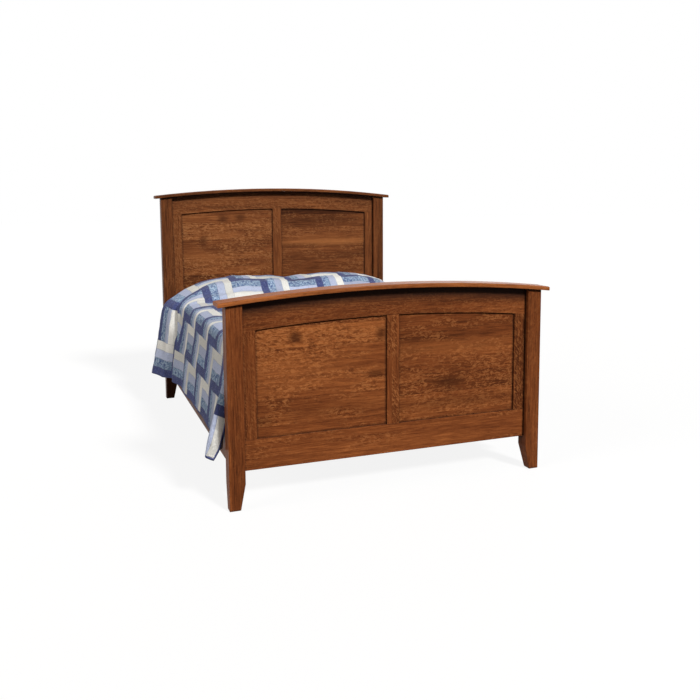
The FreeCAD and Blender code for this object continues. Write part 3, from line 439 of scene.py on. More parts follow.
def makeOak(name, grain, seed, tone, staves, flecks, slant):
    material, tree, shader = newMaterial(f"oak_{name}")
    place = put(tree, "ShaderNodeTexCoord").outputs["Object"]
    along = objectPlace(tree, grainTurns[grain])
    wood = useGroup(tree, oakGrain, {
        "Vector": along, "Seed": float(seed), "Stave Width": oak["staveWidth"], "Stave Contrast": staves,
        "Flecks": flecks, "Slant": slant, "Tone": tone})
    # Darker and lighter patches of the wood, and a painted shadow at the foot of the headboard's left post.
    colour = addPatches(tree, darkPatches.get(name, ()), place, along, wood["Color"])
    # Turned edges are lighter: partly rubbed wear, partly a painted highlight.
    turnedEdge = useGroup(tree, edgeMark, {"Radius": oak["edgeRadius"], "Vector": along})
    marked = blendColour(tree, calc(tree, "MULTIPLY", turnedEdge["Mask"], oak["edgeMark"]), colour, oak["light"])
    # Inner corners and recesses darken: stain build-up and painted shade.
    stainedAndShaded = useGroup(tree, cornerStainAndShade, {"Distance": oak["cornerReach"], "Vector": along})["Mask"]
    marked = blendColour(tree, calc(tree, "MULTIPLY", stainedAndShaded, oak["cornerStainAndShade"]), marked, oak["stainAndShade"])
    # A painted shadow under the cap: a band below the arch that darkens the rail towards near black.
    if name in paintedCapShadow:
        start, end, strength = paintedCapShadow[name]
        crest = max(corner[2] for corner in nodes[name].bound_box)
        paintedShadow = fade(tree, belowArch(tree, place, crest), start, end, strength, 0.0)
        marked = blendColour(tree, paintedShadow, marked, oak["stainAndShade"])
    if name.startswith("headboard"):
        marked = calcVector(tree, "MULTIPLY", marked, oak["headTint"])
    connect(tree, shader["Base Color"], marked)
    rough = unevenRoughness(tree, along, oak, oak["roughness"])
    rough = calc(tree, "MULTIPLY_ADD", wood["Pores"], oak["poreRoughness"], rough)
    connect(tree, shader["Roughness"], rough)
    shader["Specular IOR Level"].default_value = oak["specular"]
    addBump(tree, shader, wood["Height"], oak["relief"], oak["reliefDepth"], turnedEdge["Normal"])
    return material


# Grain direction, seed, tone, stave contrast, fleck amount and slant of each oak piece.
oakPieces = {
    "footboard_cap": ("X", 1.0, 0.26, 0.0, 0.35, 0.1),
    "footboard_top_rail": ("X", 2.0, -0.01, 0.0, 0.40, -0.1),
    "footboard_bottom_rail": ("X", 3.0, 0.05, 0.0, 0.70, 0.15),
    "footboard_left_post": ("Z", 4.0, -0.02, 0.0, 0.18, 0.1),
    "footboard_right_post": ("Z", 5.0, -0.06, 0.0, 0.25, 0.1),
    "footboard_left_stile": ("Z", 6.0, -0.02, 0.0, 0.50, -0.45),
    "footboard_centre_stile": ("Z", 7.0, -0.03, 0.0, 0.85, -0.6),
    "footboard_right_stile": ("Z", 8.0, -0.22, 0.0, 0.70, -0.6),
    "footboard_left_panel": ("X", 9.0, 0.10, 0.26, 1.00, 0.05),
    "footboard_right_panel": ("X", 10.0, 0.03, 0.26, 0.75, -0.05),
    "headboard_cap": ("X", 11.0, -0.14, 0.0, 0.30, 0.1),
    "headboard_top_rail": ("X", 12.0, -0.02, 0.0, 0.40, 0.1),
    "headboard_bottom_rail": ("X", 13.0, 0.0, 0.0, 0.45, 0.1),
    "headboard_left_post": ("Z", 14.0, -0.19, 0.0, 0.20, 0.1),
    "headboard_right_post": ("Z", 15.0, -0.15, 0.0, 0.20, 0.1),
    "headboard_left_stile": ("Z", 16.0, -0.02, 0.0, 0.45, -0.5),
    "headboard_centre_stile": ("Z", 17.0, -0.02, 0.0, 0.55, -0.5),
    "headboard_right_stile": ("Z", 18.0, -0.05, 0.0, 0.45, -0.5),
    "headboard_left_panel": ("X", 19.0, -0.04, 0.24, 0.80, 0.05),
    "headboard_right_panel": ("X", 20.0, -0.18, 0.28, 0.45, 0.05),
    # The side rails' low tone is painted shade for their lower edges, which lie in the quilt's shadow.
    "left_side_rail": ("Y", 21.0, -0.25, 0.0, 0.35, 0.1),
    "right_side_rail": ("Y", 22.0, -0.25, 0.0, 0.35, 0.1),
}
# Darker places, or lighter ones where the strength is below nought: across, up, half width, half height
# and strength.
darkPatches = {
    "footboard_left_panel": [(-0.453, 0.728, 0.034, 0.034, 0.80), (-0.054, 0.718, 0.034, 0.034, 0.80),
                             (-0.072, 0.539, 0.060, 0.022, 0.65), (-0.614, 0.367, 0.070, 0.030, 0.50),
                             (-0.350, 0.395, 0.600, 0.050, 0.22), (-0.480, 0.590, 0.300, 0.070, -0.22)],
    "footboard_right_panel": [(0.286, 0.466, 0.110, 0.040, 0.75), (0.350, 0.372, 0.500, 0.036, 0.40),
                              (0.330, 0.632, 0.450, 0.040, -0.30)],
    "headboard_left_panel": [(-0.365, 1.165, 0.042, 0.030, 0.65), (-0.245, 1.170, 0.045, 0.030, 0.65),
                             (-0.490, 1.020, 0.030, 0.050, 0.50), (-0.500, 0.900, 0.200, 0.060, -0.25)],
    "headboard_right_panel": [(0.330, 1.165, 0.300, 0.050, 0.40), (0.370, 1.000, 0.360, 0.028, -0.50),
                              (0.370, 0.900, 0.400, 0.040, 0.25)],
    # This patch is painted shadow: it darkens the post's foot where the quilt shades it.
    "headboard_left_post": [(-0.721, 0.060, 0.200, 0.230, 0.85)],
}
# Shadow is painted under the caps, in a band that follows the arch: where it starts to fade below the
# cap, where it ends, and its strength.
paintedCapShadow = {"footboard_top_rail": (0.018, 0.092, 0.90), "headboard_top_rail": (0.004, 0.060, 0.42)}
arch = {"chord": 1.512, "rise": 0.042}


def dress(name, material):
    nodes[name].data.materials.clear()
    nodes[name].data.materials.append(material)


for oakName, oakValues in oakPieces.items():
    dress(oakName, makeOak(oakName, *oakValues))
print("oak finished")


plainWoods = {
    "slat": {"light": (0.56, 0.42, 0.25), "dark": (0.36, 0.24, 0.125), "roughness": 0.62},
    "dowel": {"light": (0.62, 0.48, 0.30), "dark": (0.44, 0.31, 0.18), "roughness": 0.58},
}
plainGrain = {
    "broad": ((1.6, 16.0, 16.0), 4.0, 0.6, 0.8),
    "lines": ((5.0, 130.0, 130.0), 4.0, 0.6),
    "knots": ((3.0, 9.0, 14.0), 1.0, 0.4, 0.3),
    "lineShare": 0.45, "tones": (0.30, 0.62),       # of the tone; where it is dark and light
    "knotFade": (0.70, 0.82), "knotShow": 0.6,
    "edgeRadius": 0.0015, "edgeMark": 0.35,
    "glossScale": 9.0, "glossSpread": 0.12,
    "relief": 0.35, "reliefDepth": 0.0005,
}
metals = {
    "plate": {"colour": (0.46, 0.44, 0.40), "tarnish": (0.20, 0.17, 0.13), "roughness": 0.36},
    "screw": {"colour": (0.60, 0.56, 0.44), "tarnish": (0.30, 0.24, 0.15), "roughness": 0.30},
}
metalFinish = {
    "brushing": ((40.0, 40.0, 900.0), 3.0, 0.6), "brushSpread": 0.22,
    "metallic": 0.9, "tarnishScale": 45.0, "tarnishShow": 0.42,
    "edgeRadius": 0.0008, "edgeMark": 0.5, "edgeColour": (0.72, 0.70, 0.66),
    "relief": 0.25, "reliefDepth": 0.0002,
}
glides = {
    "colour": (0.62, 0.58, 0.50), "soiled": (0.30, 0.26, 0.21),
    "soiledHeight": 0.003, "soilScale": 60.0,
    "roughness": 0.48, "glossSpread": 0.15,
    "edgeRadius": 0.0008,
    "grain": ((900.0, 900.0, 900.0), 2.0), "relief": 0.2, "reliefDepth": 0.0002,
}


def makePlainWood(name, values, grain, seed):
    material, tree, shader = newMaterial(name)
    along = objectPlace(tree, grainTurns[grain], (seed * 1.3, seed * 0.7, seed * 2.1))
    broad, lines, knots = [grainNoise(tree, along, *plainGrain[key]) for key in ("broad", "lines", "knots")]
    tone = calc(tree, "MULTIPLY", broad, 1 - plainGrain["lineShare"])
    tone = calc(tree, "MULTIPLY_ADD", lines, plainGrain["lineShare"], tone)
    colour = ramp(tree, tone, list(zip(plainGrain["tones"], (values["dark"], values["light"]))))
    knots = fade(tree, knots, *plainGrain["knotFade"], 0.0, plainGrain["knotShow"])
    colour = blendColour(tree, knots, colour, values["dark"])
    turnedEdge = useGroup(tree, edgeMark, {"Radius": plainGrain["edgeRadius"], "Vector": along})
    marked = calc(tree, "MULTIPLY", turnedEdge["Mask"], plainGrain["edgeMark"])
    connect(tree, shader["Base Color"], blendColour(tree, marked, colour, values["dark"]))
    connect(tree, shader["Roughness"], unevenRoughness(tree, along, plainGrain, values["roughness"]))
    addBump(tree, shader, lines, plainGrain["relief"], plainGrain["reliefDepth"], turnedEdge["Normal"])
    return material


def makeMetal(name, values, seed):
    material, tree, shader = newMaterial(name)
    place = objectPlace(tree, (0, 0, 0), (seed, seed * 0.4, 0))
    brushed = grainNoise(tree, place, *metalFinish["brushing"])
    cloud = useGroup(tree, unevenGloss, {"Vector": place, "Scale": metalFinish["tarnishScale"]})["Mask"]
    turnedEdge = useGroup(tree, edgeMark, {"Radius": metalFinish["edgeRadius"], "Vector": place})
    stain = calc(tree, "MULTIPLY", calc(tree, "SUBTRACT", 1.0, cloud), metalFinish["tarnishShow"])
    colour = blendColour(tree, stain, values["colour"], values["tarnish"])
    marked = calc(tree, "MULTIPLY", turnedEdge["Mask"], metalFinish["edgeMark"])
    connect(tree, shader["Base Color"], blendColour(tree, marked, colour, metalFinish["edgeColour"]))
    shader["Metallic"].default_value = metalFinish["metallic"]
    rough = calc(tree, "MULTIPLY_ADD", brushed, metalFinish["brushSpread"], values["roughness"] - 0.08)
    connect(tree, shader["Roughness"], rough)
    addBump(tree, shader, brushed, metalFinish["relief"], metalFinish["reliefDepth"], turnedEdge["Normal"])
    return material


def makeNylon():
    material, tree, shader = newMaterial("glideNylon")
    place = objectPlace(tree)
    cloud = useGroup(tree, unevenGloss, {"Vector": place, "Scale": glides["soilScale"]})["Mask"]
    nearFloor = fade(tree, splitAxes(tree, place)["Z"], 0.0, glides["soiledHeight"], 1.0, 0.2)
    soiled = calc(tree, "MULTIPLY", nearFloor, cloud)
    connect(tree, shader["Base Color"], blendColour(tree, soiled, glides["colour"], glides["soiled"]))
    rough = calc(tree, "MULTIPLY_ADD", cloud, glides["glossSpread"], glides["roughness"])
    connect(tree, shader["Roughness"], rough)
    grain = grainNoise(tree, place, *glides["grain"])
    turnedEdge = useGroup(tree, edgeMark, {"Radius": glides["edgeRadius"], "Vector": place})
    addBump(tree, shader, grain, glides["relief"], glides["reliefDepth"], turnedEdge["Normal"])
    return material


def dressPlainParts():
    for number in range(1, 6):
        dress(f"slat_{number}", makePlainWood(f"poplarSlat_{number}", plainWoods["slat"], "X", number))
    for number in (1, 2):
        leg = makePlainWood(f"poplarLeg_{number}", plainWoods["slat"], "Z", 10 + number)
        dress(f"centre_support_leg_{number}", leg)
    for number, side in enumerate(("left", "right")):
        cleat = makePlainWood(f"poplarCleat_{side}", plainWoods["slat"], "Y", 20 + number)
        dress(f"{side}_slat_cleat", cleat)
    dress("cap_dowels", makePlainWood("birchDowels", plainWoods["dowel"], "Z", 31))
    plate = makeMetal("zincPlate", metals["plate"], 1.0)
    screw = makeMetal("zincScrews", metals["screw"], 2.0)
    for name in nodes:
        if name.endswith("_plate"):
            dress(name, plate)
        if name.endswith("_screws"):
            dress(name, screw)
    dress("foot_glides", makeNylon())


dressPlainParts()
print("slats, plates, screws and glides finished")


def clamp(value, low=0.0, high=1.0):
    return min(max(value, low), high)


def smoothStep(value):
    value = clamp(value)
    return value * value * (3 - 2 * value)


def grow(value, start, reach):
    # From nought at the start to one after the reach.
    return smoothStep((value - start) / reach)


def bell(value, middle, halfWidth):
    return math.exp(-((value - middle) / halfWidth) ** 2)


def spanAt(places, place):
    # Which span of a rising list a place is in.
    return clamp(bisect.bisect_right(places, place) - 1, 0, len(places) - 2)


def throughPoints(points, place):
    # A smooth value at a place, from a rising list of (place, value).
    index = spanAt([point[0] for point in points], place)
    before = points[max(index - 1, 0)][1]
    start, end = points[index], points[index + 1]
    after = points[min(index + 2, len(points) - 1)][1]
    t = clamp((place - start[0]) / (end[0] - start[0]))
    firstSlope, secondSlope = (end[1] - before) / 2, (after - start[1]) / 2
    t2, t3 = t * t, t * t * t
    return ((2 * t3 - 3 * t2 + 1) * start[1] + (t3 - 2 * t2 + t) * firstSlope
            + (3 * t2 - 2 * t3) * end[1] + (t3 - t2) * secondSlope)


def lineLengths(points):
    total, lengths = 0.0, [0.0]
    for first, second in zip(points, points[1:]):
        total += math.dist(first, second)
        lengths.append(total)
    return lengths


def alongLine(points, lengths, distance):
    # The point at a distance along a line of points.
    index = spanAt(lengths, distance)
    span = lengths[index + 1] - lengths[index]
    t = (distance - lengths[index]) / span if span else 0.0
    return [a + (b - a) * t for a, b in zip(points[index], points[index + 1])]


def ripple(x, y, z=0.0):
    return noise.noise(Vector((x, y, z)))


quilt = {
    "width": 2.337, "length": 1.9475,
    "columns": 13, "rows": 10,
    "step": 0.0106,
    "thickness": 0.008,
    "binding": 0.012,
    "tuck": 0.125,            # cloth past the mattress's foot edge
    "shoulder": 0.640,        # where the top starts to round into the side
    "top": 0.694,
    "footEdge": -0.936,
    "halfOutline": 1.149,     # from the middle to the hem over the mattress
    "backing": (0.50, 0.58, 0.72),
    "relief": 0.85, "reliefDepth": 0.0045,
    # Prints of a block's four strips, in their order: the cloth's colour, then the marks on it. A mark has
    # a pattern, the two values between which it fades, its strength at each and its colour.
    "prints": {
        "navy": ((0.056, 0.074, 0.225), [("leaves", 0.16, 0.34, 0.60, 0.0, (0.200, 0.250, 0.480)),
                                         ("clouds", 0.42, 0.64, 0.0, 0.5, (0.030, 0.036, 0.130))]),
        "blue": ((0.050, 0.100, 0.290), [("clouds", 0.40, 0.56, 0.0, 1.0, (0.215, 0.325, 0.510)),
                                         ("specks", 0.50, 0.56, 0.0, 0.85, (0.480, 0.620, 0.760))]),
        "paleBlue": ((0.500, 0.565, 0.760), [("clouds", 0.3, 0.7, 0.0, 0.45, (0.52, 0.58, 0.76)),
                                             ("specks", 0.54, 0.66, 0.0, 0.4, (0.24, 0.31, 0.52))]),
        "cream": ((0.860, 0.860, 0.820), [("specks", 0.54, 0.66, 0.0, 0.3, (0.70, 0.69, 0.66))]),
    },
    "quilting": {
        "leaves": (70.0, 110.0, 70.0),
        "clouds": ((34.0, 34.0, 34.0), 4.0, 0.65, 0.8),
        "specks": ((85.0, 85.0, 85.0), 3.0, 0.65, 0.8),
        "wander": 0.0035,                   # how far the pieced seams stray
        "shades": (0.86, 1.08),             # each strip's own lightness
        "puffWidth": 0.011, "puffHeight": 0.6, "stippleWidth": 0.26, "stippleHeight": 0.4,
        "seamWidth": (0.0004, 0.0014), "seamShade": 0.45, "seamColour": (0.06, 0.07, 0.12),
        "stitchScale": 34.0, "stitchWidth": 0.045, "stitchShade": 0.16, "stitchColour": (0.10, 0.12, 0.18),
    },
    # Folds. A pair says where a fold starts to grow and over what distance: across the cloth from the
    # middle in the first three, along the bed in the next two and from the lip in its edge. The crease
    # and the valley have a middle and a half width.
    "folds": {
        "down": (0.70, 0.42), "ontoSide": (0.62, 0.12), "offTop": (0.64, 0.08),
        "offDrop": (0.50, 0.08), "tugged": (0.42, 0.10),
        "earReach": 0.08,
        "seeds": {-1: 3.7, 1: 8.2},         # left and right side
        "ripples": 0.010, "lean": 0.30,     # soft waves of the sides
        "crease": (0.450, 0.016), "creaseDepth": 0.012,
        "swells": 0.0050, "puckers": 0.0045, "sidePuckers": 0.0040, "tugs": 0.0055, "hem": 0.004,
        # The fold beside the pillows: where its lip stands at the top and at the hem, and its shape.
        "lip": (0.600, 0.500), "lipEdge": (0.002, 0.024), "reach": 0.20, "bulge": 0.029,
        "valley": (0.032, 0.0140), "depth": 0.036,
    },
    # The loose corners at the foot: from distances below the shoulder, how far out the outer fold and the
    # free end of the foot hem stand.
    "ear": {
        "start": 0.085, "rightShare": 0.55,
        "fold": [(0.0, 0.640), (0.04, 0.684), (0.09, 0.710), (0.20, 0.760), (0.35, 0.806), (0.51, 0.841)],
        "hem": [(0.0, 0.640), (0.05, 0.672), (0.10, 0.690), (0.22, 0.722), (0.36, 0.746), (0.45, 0.772),
                (0.53, 0.814)],
        # Along the bed: on the way out, at the fold, just past it, on the way back and at the hem.
        "lines": (-0.905, -0.934, -0.946, -0.955, -0.961),
        "lift": 0.012,
    },
}
ear, folds, quilting = quilt["ear"], quilt["folds"], quilt["quilting"]
navy = quilt["prints"]["navy"][0]

# Half outlines of the quilt's outer face from the middle to the hem, in metres: on the mattress, at the
# pillows' foot, over their crest and at the head end.
quiltOutlines = {
    "mattress": [(0, 0.694), (0.150, 0.694), (0.300, 0.694), (0.450, 0.694), (0.570, 0.694),
                 (0.640, 0.694), (0.681, 0.684), (0.696, 0.652), (0.700, 0.605), (0.711, 0.530),
                 (0.725, 0.450), (0.738, 0.350), (0.751, 0.226)],
    "pillowFoot": [(0, 0.722), (0.150, 0.738), (0.300, 0.744), (0.450, 0.738), (0.560, 0.724),
                   (0.636, 0.704), (0.682, 0.682), (0.697, 0.650), (0.702, 0.604), (0.712, 0.530),
                   (0.726, 0.450), (0.739, 0.350), (0.752, 0.226)],
    "pillowCrest": [(0, 0.796), (0.150, 0.812), (0.300, 0.814), (0.450, 0.806), (0.550, 0.786),
                    (0.630, 0.748), (0.700, 0.704), (0.748, 0.660), (0.768, 0.604), (0.777, 0.540),
                    (0.788, 0.450), (0.802, 0.350), (0.826, 0.219)],
    "headEnd": [(0, 0.772), (0.150, 0.784), (0.300, 0.788), (0.450, 0.776), (0.560, 0.754),
                (0.640, 0.726), (0.722, 0.696), (0.780, 0.656), (0.798, 0.600), (0.808, 0.530),
                (0.821, 0.450), (0.841, 0.350), (0.869, 0.219)],
}
# How much of each outline there is at places along the bed, from the foot: for the top and for the sides.
topMix = [(-1.0, (1, 0, 0, 0)), (0.425, (1, 0, 0, 0)), (0.485, (0, 1, 0, 0)), (0.585, (0, 0.15, 0.85, 0)),
          (0.680, (0, 0, 1, 0)), (0.790, (0, 0, 0.8, 0.2)), (0.900, (0, 0, 0, 1))]
sideMix = [(-1.0, (1, 0, 0, 0)), (0.425, (1, 0, 0, 0)), (0.550, (0, 1, 0, 0)), (0.680, (0, 0, 1, 0)),
           (0.815, (0, 0, 0, 1)), (0.900, (0, 0, 0, 1))]

# The quilt's line along the bed, at the pillows' middles: y and z.
quiltProfile = [(-0.964, 0.5825), (-0.964, 0.640), (-0.962, 0.668), (-0.954, 0.686), (-0.936, 0.694),
                (0.400, 0.694), (0.440, 0.696), (0.475, 0.716), (0.520, 0.752), (0.580, 0.786),
                (0.660, 0.808), (0.740, 0.814), (0.820, 0.808), (0.900, 0.794)]

# Where the cloth lies, as (on the cloth, on the bed): across, from the middle; along, from the foot hem, on
# top, where it is bunched in front of the pillows; and along, down the sides.
layAcross = [(-1.1685, -1.149), (-0.6292, -0.585), (0.4494, 0.483), (1.1685, 1.149)]
layOnTop = [(0.125, -0.936), (1.3635, 0.304), (1.488, 0.428), (1.558, 0.452)]
layOnSide = [(0.125, -0.936), (1.3635, 0.304), (1.558, 0.499), (1.7528, 0.598), (1.9475, 0.815)]

def cutCorners(points, rounds):
    # Each round replaces every corner by two points, which makes the line smoother.
    for _ in range(rounds):
        finer = [points[0]]
        for first, second in zip(points, points[1:]):
            finer.append([0.75 * a + 0.25 * b for a, b in zip(first, second)])
            finer.append([0.25 * a + 0.75 * b for a, b in zip(first, second)])
        points = finer + [points[-1]]
    return points


def mixAt(mix, along):
    index = spanAt([entry[0] for entry in mix], along)
    start, end = mix[index], mix[index + 1]
    t = smoothStep((along - start[0]) / (end[0] - start[0]))
    return [a + (b - a) * t for a, b in zip(start[1], end[1])]


def quiltSection(along):
    onTop, onSide = mixAt(topMix, along), mixAt(sideMix, along)
    outlines = list(quiltOutlines.values())
    points = []
    for corner in range(len(outlines[0])):
        share = smoothStep((corner - 4) / 4)
        weights = [a + (b - a) * share for a, b in zip(onTop, onSide)]
        points.append([sum(weight * outline[corner][axis] for weight, outline in zip(weights, outlines))
                       for axis in (0, 1)])
    return cutCorners(points, 2)


def earPoint(beyondFoot, beyondSide, section, lengths, side):
    # A level line at this height: from the side out to a fold, then back behind the post to the foot hem.
    dropX = alongLine(section, lengths, quilt["shoulder"] + beyondSide)[0]
    reach = math.hypot(max(beyondFoot, 0.0), beyondSide)
    up = alongLine(section, lengths, quilt["shoulder"] + reach)[1]
    share = 1.0 if side < 0 else ear["rightShare"]
    foldX, hemX = [dropX + share * (throughPoints(ear[key], beyondSide) - dropX) for key in ("fold", "hem")]
    startY = quilt["footEdge"] + ear["start"]
    out = foldX - dropX
    outY, foldY, pastY, backY, hemY = ear["lines"]
    line = cutCorners([(dropX, startY), (dropX + 0.12 * out, startY - 0.035), (dropX + 0.55 * out, outY),
                       (foldX, foldY), (foldX, pastY), (foldX + 0.3 * (hemX - foldX), backY),
                       (hemX, hemY)], 2)
    lineLength = lineLengths(line)
    part = (beyondFoot + ear["start"]) / (quilt["tuck"] + ear["start"])
    x, y = alongLine(line, lineLength, part * lineLength[-1])
    return Vector((x, y, up - ear["lift"] * part ** 4 * smoothStep(beyondSide / 0.5)))


def onLines(points, place):
    # The value at a place on straight lines through (place, value) points, carried on past both ends.
    index = spanAt([point[0] for point in points], place)
    start, end = points[index], points[index + 1]
    return start[1] + (end[1] - start[1]) * (place - start[0]) / (end[0] - start[0])


def quiltPoint(across, along, profile, sections):
    # Where a point of the flat cloth lies. Across runs from the middle, along from the tucked foot hem.
    path = onLines(layAcross, across)
    side = -1 if path < 0 else 1
    distance = abs(path)
    bunchedCloth, bunchedPlace = layOnTop[-1]
    if along < layOnTop[0][0]:
        onTop, z = alongLine(quiltProfile, profile["lengths"], along)
        onSide = onTop
    else:
        z = quilt["top"]
        onSide = onLines(layOnSide, along)
        onTop = onLines(layOnTop, along)
        if along > bunchedCloth:
            start = onLines(profile["places"], bunchedPlace)
            onTop = alongLine(quiltProfile, profile["lengths"], start + along - bunchedCloth)[0]
    y = onTop + (onSide - onTop) * grow(distance, 0.50, 0.24)
    section, lengths = sections(y)
    shoulderPath = layAcross[2][1]
    if distance > shoulderPath:
        spread = (lengths[-1] - shoulderPath) / (quilt["halfOutline"] - shoulderPath)
        distance = shoulderPath + (distance - shoulderPath) * spread
    x, up = alongLine(section, lengths, distance)
    place = Vector((x, y, up - max(quilt["top"] - z, 0.0)))
    beyondFoot, beyondSide = quilt["tuck"] - along, distance - quilt["shoulder"]
    if beyondFoot > -ear["start"] and beyondSide > 0:
        corner = earPoint(beyondFoot, beyondSide, section, lengths, side)
        place = place.lerp(corner, smoothStep(beyondSide / 0.12))
    place.x *= side
    return place


def quiltFolds(place, across, along):
    # Soft ripples of the sides, the fold beside the pillows and the crease in front of them.
    side = -1 if place.x < 0 else 1
    seed = folds["seeds"][side]
    distance, y = abs(onLines(layAcross, across)), place.y
    down, onSide = grow(distance, *folds["down"]), grow(distance, *folds["ontoSide"])
    onTop, onDrop = 1 - grow(distance, *folds["offTop"]), 1 - grow(y, *folds["offDrop"])
    inFront = grow(along - quilt["tuck"], ear["start"], folds["earReach"])

    wave = math.sin(y * 17.0 + seed + 1.6 * ripple(y * 1.7, seed)) * 0.4 + ripple(y * 4.2, down * 0.9, seed)
    out = folds["ripples"] * down ** 1.2 * (wave + folds["lean"]) * inFront * (0.25 + 0.75 * onDrop)
    top, hem = folds["lip"]
    fromLip = y - (top + (hem - top) * down)
    bulge = grow(fromLip, -folds["reach"], folds["reach"]) * (1 - grow(fromLip, *folds["lipEdge"]))
    bulge *= folds["bulge"] * (0.35 + 0.65 * down)
    valley = folds["depth"] * (0.55 + 0.45 * down) * bell(fromLip, *folds["valley"])
    out += onSide * (bulge - valley)

    rise = -folds["creaseDepth"] * bell(y, *folds["crease"]) * onTop
    rise += folds["swells"] * (0.4 + ripple(across * 7.0, along * 7.0, 2.0)) * onTop * inFront
    pucker = ripple(across * 24.0, along * 24.0, 5.0) * inFront
    rise += folds["puckers"] * pucker * onTop
    out += folds["sidePuckers"] * pucker * onSide
    rise += folds["tugs"] * grow(y, *folds["tugged"]) * onTop * ripple(across * 9.0, along * 3.0, 7.0)
    rise += folds["hem"] * down * ripple(y * 5.0, seed, 1.0) * inFront
    laid = place + Vector((side * out, 0, rise))
    if distance < quilt["shoulder"] - 0.02:
        laid.z = max(laid.z, quilt["top"])
    return laid


def makeQuiltMesh():
    columns = round(quilt["width"] / quilt["step"])
    rows = round(quilt["length"] / quilt["step"])
    form = bmesh.new()
    bmesh.ops.create_grid(form, x_segments=columns, y_segments=rows, size=0.5)
    flat = form.loops.layers.uv.new("quiltFlat")
    for face in form.faces:
        for loop in face.loops:
            x, y, _ = loop.vert.co
            loop[flat].uv = ((x + 0.5) * quilt["width"], (y + 0.5) * quilt["length"])
    lengths = lineLengths(quiltProfile)
    places = [(point[0], length) for point, length in zip(quiltProfile, lengths)][1:]
    profile = {"lengths": lengths, "places": places}
    known = {}

    def sections(y):
        key = round(y, 4)
        if key not in known:
            points = quiltSection(key)
            known[key] = (points, lineLengths(points))
        return known[key]

    for vert in form.verts:
        across, along = vert.co.x * quilt["width"], (vert.co.y + 0.5) * quilt["length"]
        place = quiltPoint(across, along, profile, sections)
        vert.co = quiltFolds(place, across, along) if along > quilt["tuck"] else place
    for _ in range(2):
        bmesh.ops.smooth_vert(form, verts=form.verts, factor=0.5,
                              use_axis_x=True, use_axis_y=True, use_axis_z=True)
    return meshFrom(form, "patchworkQuilt")


